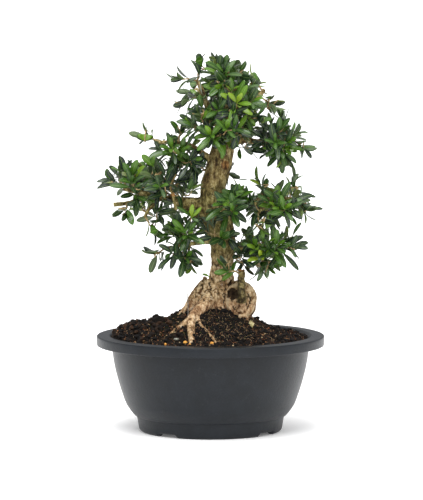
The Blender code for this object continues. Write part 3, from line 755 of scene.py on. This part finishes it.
def shapeHole(point, rise, relief, front):  # the knot hole and the low rim round it
    s = woodSettings
    hole = Vector(s["hole"]) * mm
    away = math.hypot(point.x - hole.x, point.z - hole.z)
    if away >= s["holeReach"] or front <= 0.2 or nearStub(point):
        return point, rise, relief
    deep = 1 - float(smoothstep(*s["holeEdge"], away))
    edge = math.exp(-((away - s["holeRim"]) / (0.8 * mm)) ** 2)
    rise = rise * (1 - deep) + 0.7 * edge
    # painted highlight on the rim and painted shade deep inside the knot hole
    relief += 0.25 * edge - 0.9 * deep
    return point + Vector((0, s["holeDepth"] * deep, 0)), rise, relief


def shapeCuts(point, rise):  # the healed scar, the sawn top of the stub and a bud
    s = woodSettings
    toScar = (point - Vector(s["scar"]) * mm).length
    rise += 0.9 * math.exp(-((toScar - 5 * mm) / (1.4 * mm)) ** 2) - 0.6 * math.exp(-(toScar / (3 * mm)) ** 2)
    cut = max(0.0, 1 - float(smoothstep(*s["scarEdge"], toScar)))
    stubTop = Vector(s["stubTop"]) * mm
    if point.z > stubTop.z - 1.2 * mm and (point - stubTop).length < 5 * mm:
        cut = 1.0
    toBud = (point - Vector(s["bud"]) * mm).length
    if toBud < s["budEdge"][1]:
        swell = 1 - float(smoothstep(*s["budEdge"], toBud))
        rise += 1.0 * swell
        cut = max(cut, swell * 1.2)
    return rise, cut


def skinnedWood():  # trunk, limbs and branches in one skin
    s = woodSettings
    names, points, faces = copiedWood()
    mesh = bpy.data.meshes.new("wood")
    mesh.from_pydata(points, [], faces)
    wood = bpy.data.objects.new("wood", mesh)
    bpy.context.scene.collection.objects.link(wood)
    swell = wood.modifiers.new("swell", "DISPLACE")
    swell.strength = s["swell"]
    swell.mid_level = 0
    remesh = wood.modifiers.new("skin", "REMESH")
    remesh.mode = "VOXEL"
    remesh.voxel_size = s["voxel"]
    soften = wood.modifiers.new("soften", "SMOOTH")
    soften.factor = 0.5
    soften.iterations = s["softenings"]
    applyModifiers(wood)
    skin = wood.data
    bpy.data.objects.remove(wood, do_unlink=True)
    return names, skin


def grownBark(point, normal):  # where a point of the skin ends up, and its four values for the paint
    s = woodSettings
    over = point.z - s["foot"]
    ridges, fine, wart = barkRelief(point)
    axis = math.hypot(point.x - s["stemMiddle"], point.y)
    stem = 1 - float(smoothstep(*s["stemEdge"], axis)) if over > 50 * mm else 1.0
    low = 1 - float(smoothstep(*s["flare"], over))
    root = 1 - float(smoothstep(*s["rootTop"], over))
    patch = 0.5 + 0.5 * float(smoothstep(-0.2, 0.2, noise.noise(point / mm * 0.06)))
    warty = low * (1 - 0.7 * root) * patch
    rise = ridges * (0.28 + 0.5 * stem * (1 - root)) + fine * 0.22 + wart * (0.18 + 1.0 * warty) - 0.25
    # relief is low between the ridges and warts for painted shade and high on the raised warts for painted
    # highlight
    relief = 0.5 + ridges * 0.22 + fine * 0.25 + (wart - 0.4) * (0.15 + 0.75 * warty)
    front = float(smoothstep(*s["front"], point.y))
    point, rise, relief = shapeBurr(point, rise, relief, front)
    point, rise, relief = shapeHole(point, rise, relief, front)
    rise, cut = shapeCuts(point, rise)
    thin = 1 - float(smoothstep(*s["thinned"], over))
    upper = float(smoothstep(*s["upper"], over))
    # darker in the middle of the trunk and at the soil line
    relief -= 0.1 * float(smoothstep(*s["middle"], over)) * (1 - upper)
    relief -= 0.1 * thin
    pale = min(1.0, 0.02 + 0.22 * upper + 0.74 * low + 0.24 * root) * (1 - 0.1 * thin)
    # the stub gets no painted highlight and stays dark
    if nearStub(point) and over > 2 * mm:
        pale = 0.1
        relief = 0.1 + 0.17 * relief
    mossy = float(smoothstep(*s["mossy"], over)) * stem * 0.8 + 0.4 * low * (1 - root) * (wart < 0.3)
    place = point + normal * (rise - s["thinning"] * thin) * mm
    return place, (min(1, max(0, relief)), pale, mossy, 1 - cut)


def makeWood():
    names, skin = skinnedWood()
    colours = np.zeros((len(skin.vertices), 4), dtype=np.float32)
    points = [v.co.copy() for v in skin.vertices]
    normals = [v.normal.copy() for v in skin.vertices]
    for index, (point, normal) in enumerate(zip(points, normals)):
        skin.vertices[index].co, colours[index] = grownBark(point, normal)
    layer = skin.color_attributes.new("grown", "FLOAT_COLOR", "POINT")
    layer.data.foreach_set("color", colours.ravel())
    skin.materials.clear()
    return register("trunk_and_branches", skin, [bark], names)


leafSettings = {
    "belly": 0.56,
    "arch": 0.07,
    "thickness": 1.0 * mm,
    "rows": (0.0, 0.05, 0.11, 0.18, 0.28, 0.4, 0.52, 0.64, 0.75, 0.85, 0.92, 0.97, 1.0),
    "columns": (-1.0, -0.55, 0.0, 0.55, 1.0),
    "petiole": 0.12,
    "petioleHalf": 0.5 * mm,
    "bladeThickness": 0.32 * mm,
    "fold": (0.1, 0.35),
    "length": 19 * mm,
    "seed": 77,
}


def leafPaint(root, place):
    along, across, tone = split(root, dataOf(root, "grown"))
    mottle = root.noise(place, 260, 3, 0.6)
    colour = root.ramp(tone, (0.0, rgb("142419")), (0.3, rgb("223d15")), (0.52, rgb("3c6213")),
                       (0.75, rgb("608619")), (1.0, rgb("98af2e")))
    colour = root.mix(mottle * 0.22, colour, rgb("192f18"))
    rib = root.step(across, 0.12, 0.03)
    colour = root.mix(rib * 0.45, colour, rgb("8da65a"))
    veins = root.node("ShaderNodeTexWave", {"wave_type": "BANDS", "bands_direction": "X"},
                      {"Vector": root.node("ShaderNodeCombineXYZ", {}, {"X": along + across * 0.12}),
                       "Scale": 5.0, "Distortion": 0.6}, "Fac")
    height = rib * -0.8 + veins * 0.12 + mottle * 0.1
    return {"Base Color": colour, "Roughness": 0.2 + 0.18 * mottle,
            "Normal": root.bump(height, 0.0003, 0.7)}


def leafBackPaint(root, place):
    _, across, tone = split(root, dataOf(root, "grown"))
    colour = root.ramp(tone, (0.0, rgb("3c4f36")), (0.5, rgb("596c3c")), (1.0, rgb("97a84a")))
    rib = root.step(across, 0.16, 0.04)
    colour = root.mix(rib * 0.5, colour, rgb("9fb27c"))
    colour = root.mix(root.noise(place, 300, 3) * 0.3, colour, rgb("2f4436"))
    return {"Base Color": colour, "Normal": root.bump(rib, 0.0003, 0.6)}


def bladeHalf(t, width):  # half width of the blade; t runs from the petiole to the tip
    t = min(1.0, max(0.0, t))
    return width / 2 * 2.36 * t ** 0.78 * (1 - t) ** 0.56


class Foliage:  # gathers leaves and twigs of one sprig
    def __init__(self):
        self.points = []
        self.faces = []
        self.slots = []
        self.colours = []

    def addLeaf(self, base, along, up, length, width, tone, dice):
        s = leafSettings
        side = along.cross(up).normalized()
        fold = dice.uniform(*s["fold"])
        droop = dice.uniform(-0.05, 0.06)
        sway = dice.uniform(-0.05, 0.05)
        start = len(self.points)
        columns = s["columns"]
        inner = range(1, len(columns) - 1)
        wide = len(columns)
        ringSize = wide + len(inner)
        for v in s["rows"]:
            rise = s["arch"] * 4 * v * (1 - v) - droop * v * v
            centre = base + along * length * v + up * length * rise + side * length * sway * v * (1 - v) * 4
            share = (v - s["petiole"]) / (1 - s["petiole"])
            half = max(s["petioleHalf"] * (1 - 0.3 * v), bladeHalf(share, width)) if v < 1 else 0.15 * mm
            body = s["bladeThickness"] * (0.6 if v > 0.97 else 1.0)
            if share < 0.05:
                body = s["petioleHalf"] * 1.6
            for u in columns:
                edge = up * (abs(u) * half * fold) + side * (u * half)
                thick = body / 2 * (1 - 0.75 * abs(u) ** 3)
                self.points.append(centre + edge + up * thick)
                self.colours.append((v, abs(u), tone, 1))
            for i in reversed(inner):
                u = columns[i]
                edge = up * (abs(u) * half * fold) + side * (u * half)
                thick = body / 2 * (1 - 0.75 * abs(u) ** 3)
                self.points.append(centre + edge - up * thick)
                self.colours.append((v, abs(u), tone, 1))
        for row in range(len(s["rows"]) - 1):
            a = start + row * ringSize
            b = a + ringSize
            for k in range(ringSize):
                after = (k + 1) % ringSize
                self.faces.append((a + k, b + k, b + after, a + after))
                self.slots.append(0 if k < wide - 1 else 1)
        last = start + (len(s["rows"]) - 1) * ringSize
        self.faces.append(tuple(start + k for k in range(ringSize)))
        self.faces.append(tuple(last + k for k in reversed(range(ringSize))))
        self.slots += [1, 1]

    def addTwig(self, line, radii, dice):
        before = len(self.faces)
        addTube(self.points, self.faces, line, radii, 7, dice)
        self.slots += [2] * (len(self.faces) - before)
        self.colours += [(0.5, 0.5, 0.5, 1)] * (len(self.points) - len(self.colours))

    def piece(self, name, nodes=()):
        return meshPiece(name, self.points, self.faces, [leafTop, leafBack, twigBark],
                         nodes, self.colours, self.slots)


def recoverLeaves(name):  # finds each blade of a sprig by its tip and the four corners round it
    s = leafSettings
    corners, triangles = nodeMesh(name)
    around = {}
    for a, b, c in triangles:
        for p, q, r in ((a, b, c), (b, c, a), (c, a, b)):
            around.setdefault(p, []).append((q, r))
    leaves = []
    used = set()
    for tip, links in around.items():
        ring = {q for q, r in links} | {r for q, r in links}
        if len(ring) != 4 or len(links) != 4:
            continue
        order = [links[0][0]]
        following = dict(links)
        while len(order) < 4 and order[-1] in following:
            order.append(following[order[-1]])
        if len(order) != 4:
            continue
        p = [Vector(corners[i]) for i in order]
        spans = ((p[0] - p[2]).length, (p[1] - p[3]).length)
        thin = 0 if spans[0] < spans[1] else 1
        if abs(spans[thin] - s["thickness"]) > 0.05 * mm or spans[1 - thin] < 3 * mm:
            continue
        top, under = p[thin], p[thin + 2]
        left, right = p[1 - thin], p[3 - thin]
        middle = (left + right) / 2
        end = Vector(corners[tip])
        length = (end - middle).length / math.hypot(1 - s["belly"], s["arch"])
        leaves.append([end, middle, (top - under).normalized(), length, (left - right).length])
        used.update(order)
        used.add(tip)
    rest = [Vector(corners[i]) for i in around if i not in used]
    found = []
    for end, middle, up, length, width in leaves:
        best = None
        for sign in (1, -1):
            way = ((end - middle) + up * sign * s["arch"] * length) / ((1 - s["belly"]) * length)
            base = end - way.normalized() * length
            miss = min((base - r).length for r in rest)
            if best is None or miss < best[0]:
                best = (miss, base, way.normalized(), up * sign)
        found.append((best[1], best[2], best[3], length, width))
    return found, rest


def smoothLine(stations, samples):
    padded = [stations[0]] + list(stations) + [stations[-1]]
    last = len(stations) - 1
    line = []
    for step in range(samples):
        t = step / (samples - 1) * last
        i = min(int(t), last - 1)
        u = t - i
        weights = (-0.5 * u + u * u - 0.5 * u ** 3, 1 - 2.5 * u * u + 1.5 * u ** 3,
                   0.5 * u + 2 * u * u - 1.5 * u ** 3, -0.5 * u * u + 0.5 * u ** 3)
        line.append(sum((padded[i + k] * weights[k] for k in range(4)), Vector((0, 0, 0))))
    return line


def twigLine(leaves, rest, woodTree):
    roots = []
    for point in rest:
        hit, _, _, distance = woodTree.find_nearest(point)
        roots.append((distance, point, hit))
    _, start, hit = min(roots, key=lambda r: r[0])
    stations = [hit + (hit - start) * 0.5, start]
    bases = sorted((leaf[0] for leaf in leaves), key=lambda b: (b - start).length)
    group = []
    for base in bases:
        if group and (base - group[0]).length > 1.8 * mm:
            stations.append(sum(group, Vector((0, 0, 0))) / len(group))
            group = []
        group.append(base)
    if group:
        stations.append(sum(group, Vector((0, 0, 0))) / len(group))
    return stations, 4 * len(stations)


shootSettings = {
    "pads": (  # middle and half sizes in millimetres, number of shoots
        ((15, 0, 354), (20, 30, 11), 17),
        ((20, -2, 331), (29, 44, 18), 38),
        ((10, -6, 305), (31, 44, 9), 26),
        ((31, -6, 288), (11, 26, 4), 4),
        ((-33, -2, 281), (16, 28, 7), 11),
        ((-20, -12, 272), (10, 16, 5), 4),
        ((67, 0, 293), (16, 30, 11), 18),
        ((70, 0, 283), (16, 24, 4), 5),
        ((-80, -4, 247), (16, 32, 11), 19),
        ((-50, -8, 250), (21, 38, 14), 24),
        ((-26, -22, 236), (9, 10, 8), 5),
        ((-60, -8, 221), (12, 26, 5), 5),
        ((-32, -8, 222), (9, 18, 5), 3),
        ((22, -18, 229), (16, 28, 12), 15),
        ((65, -4, 229), (25, 36, 9), 27),
        ((-25, -14, 201), (12, 22, 7), 11),
        ((-29, -14, 180), (11, 20, 4), 4),
        ((6, -24, 201), (15, 5, 5), 5),
        ((57, -4, 186), (24, 32, 5), 17),
        ((32, -12, 176), (8, 18, 8), 8),
        ((52, -10, 176), (8, 16, 4), 3),
    ),
    "keepClear": (  # the stem and the bare twig stay in sight
        ((-8, -60, 238), (24, -8, 278)),
        ((-30, -60, 224), (6, -8, 240)),
        ((-12, -60, 146), (20, -6, 196)),
        ((20, -60, 126), (42, -16, 167)),
        ((-42, -60, 222), (-31, -22, 262)),
    ),
    "depth": 1.25,
    "apart": 6.5 * mm,
    "leafApart": 3.3 * mm,
    "pairs": (2, 3, 3, 4),
    "pairGap": (2.0 * mm, 3.4 * mm),
    "lean": (28, 15),
    "twigRadius": 0.62 * mm,
    "droop": 0.14,
    "seed": 19,
    "posed": (  # base of a shoot, then each leaf's tip, width and freshness, in millimetres
        ((21, -34, 222), ((4, -40, 245, 8, 0.3), (27, -38, 253, 9, 0.28), (5, -34, 216, 7, 0.05),
                          (36, -38, 214, 7, 0.1))),
        ((68, -24, 231), ((53, -30, 245, 7.5, 0.4), (80, -28, 254, 7, 0.4), (92, -26, 235, 6, 0.5),
                          (84, -22, 219, 5, 0.1), (60, -28, 214, 7, 0.1))),
        ((70, -20, 184), ((93, -24, 199, 7.5, 0.1), (88, -22, 164, 6, 0.15), (60, -26, 168, 5.5, 0.2))),
        ((82, -14, 197), ((91, -16, 212, 3.8, 0.4),)),
        ((97, -6, 226), ((113, -8, 225, 4.5, 0.12),)),
        ((86, -8, 243), ((106, -10, 237, 4.2, 0.1),)),
        ((-100, -6, 253), ((-114.4, -8, 252, 4.4, 0.15), (-104, -12, 266, 6.5, 0.45))),
        ((-33, -22, 190), ((-40, -26, 166, 6.5, 0.1), (-28.5, -26, 172, 6, 0.15), (-50, -24, 164, 3.2, 0.1),
                           (-33, -27, 222, 7.5, 0.12))),
        ((-20, -22, 188), ((-22, -26, 165, 6.5, 0.12), (-13, -25, 169, 6.2, 0.15), (-7.5, -23, 178, 4, 0.2))),
        ((-19, -30, 218), ((-18, -36, 232, 5.5, 0.85), (-9, -36, 229, 4, 0.8), (-34, -34, 229, 4.5, 0.4),
                           (-12, -34, 214, 5, 0.4))),
        ((-57, -24, 268), ((-69, -30, 281, 7.5, 0.62), (-56, -30, 280, 5.5, 0.6))),
        ((-19, -24, 274), ((-8, -28, 277, 6, 0.62), (-12.5, -26, 263, 3.8, 0.2), (-29, -28, 283, 6, 0.5))),
        ((19, -36, 327), ((34, -42, 356, 7.5, 0.55), (14, -40, 348, 8, 0.12), (8, -42, 322, 6, 0.4))),
        ((26, -40, 304), ((21, -46, 327, 10, 0.2), (36, -46, 322, 6, 0.7), (12, -44, 300, 7, 0.12),
                          (41, -42, 300, 7, 0.12))),
        ((2, -38, 300), ((-12, -42, 306, 7, 0.2), (16, -44, 309, 5, 0.3), (-3, -42, 288, 7, 0.08),
                         (-16, -38, 298, 6.5, 0.6))),
        ((-8, -26, 326), ((-11, -30, 341, 7, 0.45), (-20, -28, 318, 6, 0.3))),
        ((9, -10, 365), ((10, -12, 380, 8, 0.25), (22, -12, 372, 6, 0.35))),
        ((-11, -10, 358), ((-15, -12, 372, 6.5, 0.08), (-24, -12, 352, 4.5, 0.15))),
        ((68, -18, 302), ((69, -22, 318, 7, 0.45), (80, -20, 317, 6, 0.35), (60, -22, 291, 6, 0.3))),
        ((-0.5, -11, 156.5), ((-8.3, -12.5, 159.8, 2.8, 0.75),)),
        ((72, -18, 282), ((75, -21, 268, 6.5, 0.4), (57, -21, 268, 6, 0.3), (86, -20, 272, 5, 0.35))),
    ),
}


def inTheWay(point):
    place = [value / mm for value in point]
    return any(all(low[k] < place[k] < high[k] for k in range(3)) for low, high in shootSettings["keepClear"])


def pickTips(dice, taken):
    s = shootSettings
    tips = []
    for middle, half, count in s["pads"]:
        centre = Vector(middle) * mm
        found = 0
        for _ in range(60 * count):
            way = Vector((dice.gauss(0, 1), dice.gauss(0, 1), dice.gauss(0, 1))).normalized()
            reach = dice.uniform(0.3, 1.0) ** 0.6
            offset = Vector((way.x * half[0], way.y * half[1] * s["depth"], way.z * half[2])) * reach * mm
            tip = centre + offset
            if any((tip - other).length < s["apart"] for other, _ in tips) or inTheWay(tip):
                continue
            if taken and min((tip - other).length for other in taken) < 0.6 * s["apart"]:
                continue
            tips.append((tip, offset.normalized()))
            found += 1
            if found == count:
                break
    return tips


def dressShoot(sprig, line, dice, woodTree, middles):
    s = shootSettings
    axis = (line[-1] - line[-3]).normalized()
    across = axis.orthogonal().normalized()
    other = axis.cross(across)
    turn = dice.uniform(0, math.pi)
    fresh = dice.gauss(0.31, 0.21)
    back = 0.0
    for pair in range(dice.choice(s["pairs"])):
        base = line[-1] - axis * back
        back += dice.uniform(*s["pairGap"])
        lean = math.radians(s["lean"][0] + s["lean"][1] * pair + dice.uniform(-8, 10))
        size = min(1.1, 0.78 + 0.15 * pair) * dice.uniform(0.82, 1.16)
        for half in (0, math.pi):
            around = turn + pair * math.pi / 2 + half + dice.uniform(-0.25, 0.25)
            radial = across * math.cos(around) + other * math.sin(around)
            along = axis * math.cos(lean) + radial * math.sin(lean)
            along = (along - Vector((0, 0, s["droop"] * dice.random()))).normalized()
            up = axis * math.sin(lean) - radial * math.cos(lean) + Vector((0, 0, 0.35))
            up = (up - along * up.dot(along)).normalized()
            length = leafSettings["length"] * size * dice.uniform(0.92, 1.08)
            middle = base + along * length * 0.55
            tip = base + along * length
            if inTheWay(middle) or any(woodTree.find_nearest(p)[3] < 1.6 * mm for p in (middle, tip)):
                continue
            gaps = np.linalg.norm(np.array(middles) - np.array(middle), axis=1) if middles else [1]
            if min(gaps) < s["leafApart"]:
                continue
            middles.append(tuple(middle))
            tone = min(1.0, max(0.0, fresh + dice.gauss(0, 0.08) + 0.16 * (pair == 0)))
            sprig.addLeaf(base, along, up, length, length * dice.uniform(0.27, 0.36), tone, dice)


def dressPosed(sprig, base, leaves, dice, middles):
    for x, y, z, width, tone in leaves:
        tip = Vector((x, y, z)) * mm
        along = (tip - base).normalized()
        up = Vector((dice.uniform(-0.25, 0.25), -0.8, 0.5))
        up = (up - along * up.dot(along)).normalized()
        sprig.addLeaf(base, along, up, (tip - base).length, width * mm, tone, dice)
        middles.append(tuple(base.lerp(tip, 0.55)))


def growShoots(sprigs, network, owners, woodTree, middles):
    s = shootSettings
    dice = random.Random(s["seed"])
    for base, leaves in s["posed"]:
        base = Vector(base) * mm
        gaps = np.linalg.norm(np.array(network) - np.array(base), axis=1)
        nearest = int(np.argmin(gaps))
        start = Vector(network[nearest])
        hit, normal, _, distance = woodTree.find_nearest(base)
        if distance < gaps[nearest]:
            start = hit - normal * 0.5 * mm
        sag = Vector((0, 0, 0.12 * (base - start).length))
        line = smoothLine([start, (start + base) / 2 - sag, base], 10)
        sprig = sprigs[owners[nearest]]
        sprig.addTwig(line, [mm * (0.95 - 0.3 * k / 9) for k in range(10)], dice)
        network += [tuple(p) for p in line[2:]]
        owners += [owners[nearest]] * (len(line) - 2)
        dressPosed(sprig, base, leaves, dice, middles)
    waiting = pickTips(dice, [Vector(m) for m in middles])
    print("shoots:", len(waiting))
    while waiting:
        grid = np.array(network)
        best = None
        for index, (tip, outward) in enumerate(waiting):
            gaps = np.linalg.norm(grid - np.array(tip), axis=1)
            nearest = int(np.argmin(gaps))
            if best is None or gaps[nearest] < best[0]:
                best = (gaps[nearest], index, nearest)
        reach, index, nearest = best
        tip, outward = waiting.pop(index)
        start = Vector(network[nearest])
        owner = owners[nearest]
        hit, normal, _, distance = woodTree.find_nearest(tip)
        if distance < 0.7 * reach:
            start = hit - normal * 0.5 * mm
            reach = distance
        bend = Vector((dice.gauss(0, 1), dice.gauss(0, 1), dice.gauss(0, 1))) * 0.08 * reach
        end = tip + (outward + Vector((0, 0, 0.45))).normalized() * 4 * mm
        stations = [start, (start + tip) / 2 + bend - Vector((0, 0, 0.1 * reach)), tip, end]
        line = smoothLine(stations, 10)
        radius = s["twigRadius"] * (1 + min(1.0, reach / (30 * mm)) * 0.5)
        sprigs[owner].addTwig(line, [radius * (1 - 0.45 * k / 9) for k in range(10)], dice)
        for point in line[2:-1]:
            network.append(tuple(point))
            owners.append(owner)
        dressShoot(sprigs[owner], line, dice, woodTree, middles)


def makeFoliage(wood):
    s = leafSettings
    dice = random.Random(s["seed"])
    woodTree = BVHTree.FromPolygons([v.co for v in wood.data.vertices],
                                    [tuple(p.vertices) for p in wood.data.polygons])
    names = sorted(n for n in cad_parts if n.startswith("sprig_")) + ["burr_shoot"]
    sprigs = []
    network = []
    owners = []
    middles = []
    for owner, name in enumerate(names):
        leaves, rest = recoverLeaves(name)
        sprig = Foliage()
        line = smoothLine(*twigLine(leaves, rest, woodTree))
        radii = [mm * (1.05 - 0.5 * k / (len(line) - 1)) for k in range(len(line))]
        sprig.addTwig(line, radii, dice)
        for base, along, up, length, width in leaves:
            tone = min(1.0, max(0.0, dice.gauss(0.34, 0.18)))
            sprig.addLeaf(base, along, up, length, width, tone, dice)
            middles.append(tuple(base + along * length * 0.55))
        if name != "burr_shoot":
            network += [tuple(p) for p in line[2:]]
            owners += [owner] * (len(line) - 2)
        sprigs.append(sprig)
    print("leaves found on the sprigs:", len(middles))
    growShoots(sprigs, network, owners, woodTree, middles)
    print("leaves in all:", len(middles))
    for name, sprig in zip(names, sprigs):
        sprig.piece("leaves_" + name, [name])


beadSettings = {
    "sink": 0.42,
    "beads": {  # where each lies, its size and its finish
        "loose_grain_3": (-44.5 * mm, -86 * mm, 3.0 * mm, "grain"),
        "loose_grain_4": (-20.5 * mm, -88 * mm, 2.0 * mm, "grain"),
        "grey_bead": (-33.8 * mm, -62 * mm, 4.4 * mm, "bead"),
    },
}


def placeBeads():
    s = beadSettings
    paints = {"grain": newMaterial("loose_grain", plainPaint("grain"), {"Roughness": 0.45}),
              "bead": newMaterial("loose_bead", plainPaint("bead"), {"Roughness": 0.3})}
    for name, (x, y, size, kind) in s["beads"].items():
        points, faces = lumpPoints(random.Random(name), size, 0.85, 0.03, 3)
        ground = Vector((x, y, soilSurface(x, y) + s["sink"] * size))
        meshPiece(name, [point + ground for point in points], faces, [paints[kind]])


def dressLooseThings():
    looks = {
        "soil_clod": ("clod", {"Roughness": 0.95, "Specular IOR Level": 0.2}),
        "fertiliser_grain_1": ("grain", {"Roughness": 0.45}),
        "fertiliser_grain_2": ("grain", {"Roughness": 0.45}),
        "dry_stalk": ("stalk", {"Roughness": 0.85}),
        "fallen_leaf": ("deadLeaf", {"Roughness": 0.6}),
    }
    for name, (kind, constants) in looks.items():
        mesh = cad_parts[name].data
        mesh.materials.clear()
        mesh.materials.append(newMaterial(name, plainPaint(kind), constants))


def floorPaint(root, place):
    return {"Base Color": root.mix(root.noise(place, 0.4, 2) * 0.2, rgb("fdfdfd"), rgb("fbfbfb"))}


stageSettings = {
    "floorSize": 80,
    "floorGlow": 0.12,
    "skyStrength": 0.88,
    "lamps": {  # turn in degrees, strength and angular width
        "key": ((30, 0, -14), 2.5, 34),
        "fill": ((66, 0, 24), 0.8, 60),
        "top": ((-16, 6, 0), 1.0, 60),
    },
    "camera": (0.001, -3.5, 0.505),
    "aim": (0.001, 0, 0.1828),
    "seen": 426.6 * mm,  # width in view at the aim
    "sensor": 36,
}


def makeStage():
    s = stageSettings
    bpy.ops.mesh.primitive_plane_add(size=s["floorSize"])
    floor = bpy.context.object
    floor.name = "floor"
    paper = {"Roughness": 0.9, "Emission Color": (1, 1, 1, 1), "Emission Strength": s["floorGlow"]}
    floor.data.materials.append(newMaterial("floor_paper", floorPaint, paper))
    world = bpy.data.worlds.new("studio")
    bpy.context.scene.world = world
    world.use_nodes = True
    tree = world.node_tree
    root = Wire(tree)
    way = root.node("ShaderNodeTexCoord", {}, {}, "Generated")
    height = root.node("ShaderNodeSeparateXYZ", {}, {"Vector": way}, "Z")
    sky = root.ramp(height * 0.5 + 0.5, (0.3, (0.9, 0.9, 0.9, 1)), (0.5, (0.3, 0.31, 0.33, 1)),
                    (0.72, (0.8, 0.8, 0.8, 1)), (1.0, (1, 1, 1, 1)))
    tree.links.new(sky.socket, tree.nodes["Background"].inputs["Color"])
    tree.nodes["Background"].inputs["Strength"].default_value = s["skyStrength"]
    for name, (turn, strength, width) in s["lamps"].items():
        light = bpy.data.lights.new(name, "SUN")
        light.energy = strength
        light.angle = math.radians(width)
        lamp = bpy.data.objects.new(name, light)
        lamp.rotation_euler = [math.radians(a) for a in turn]
        bpy.context.scene.collection.objects.link(lamp)


def makeCamera():
    s = stageSettings
    camera = bpy.data.cameras.new("camera")
    camera.sensor_fit = "HORIZONTAL"
    camera.sensor_width = s["sensor"]
    place = Vector(s["camera"])
    aim = Vector(s["aim"])
    camera.lens = s["sensor"] * (aim - place).length / s["seen"]
    camera.clip_end = 200
    body = bpy.data.objects.new("camera", camera)
    body.location = place
    body.rotation_euler = (aim - place).to_track_quat("-Z", "Y").to_euler()
    bpy.context.scene.collection.objects.link(body)
    bpy.context.scene.camera = body
    bpy.context.scene.view_settings.view_transform = "Standard"


potPlastic = newMaterial("pot_plastic", potPaint, {"Specular IOR Level": 0.27})
pottingSoil = newMaterial("potting_soil", soilPaint, {"Roughness": 0.95, "Specular IOR Level": 0.2})
chipBark = newMaterial("soil_chips", chipPaint, {"Roughness": 0.85, "Specular IOR Level": 0.25})
moss = newMaterial("moss", mossPaint, {"Roughness": 0.95, "Specular IOR Level": 0.15})
bark = newMaterial("bark", woodPaint, {"Specular IOR Level": 0.25})
leafTop = newMaterial("leaf_top", leafPaint, {"Specular IOR Level": 0.42})
leafBack = newMaterial("leaf_back", leafBackPaint, {"Roughness": 0.5})
twigBark = newMaterial("twig_bark", plainPaint("twig"), {"Roughness": 0.75})

makeCamera()
makeStage()
print("pot")
makePot()
print("soil")
makeSoil()
scatterLooseSoil()
print("wood")
wood = makeWood()
print("foliage")
makeFoliage(wood)
print("loose things")
dressLooseThings()
placeBeads()
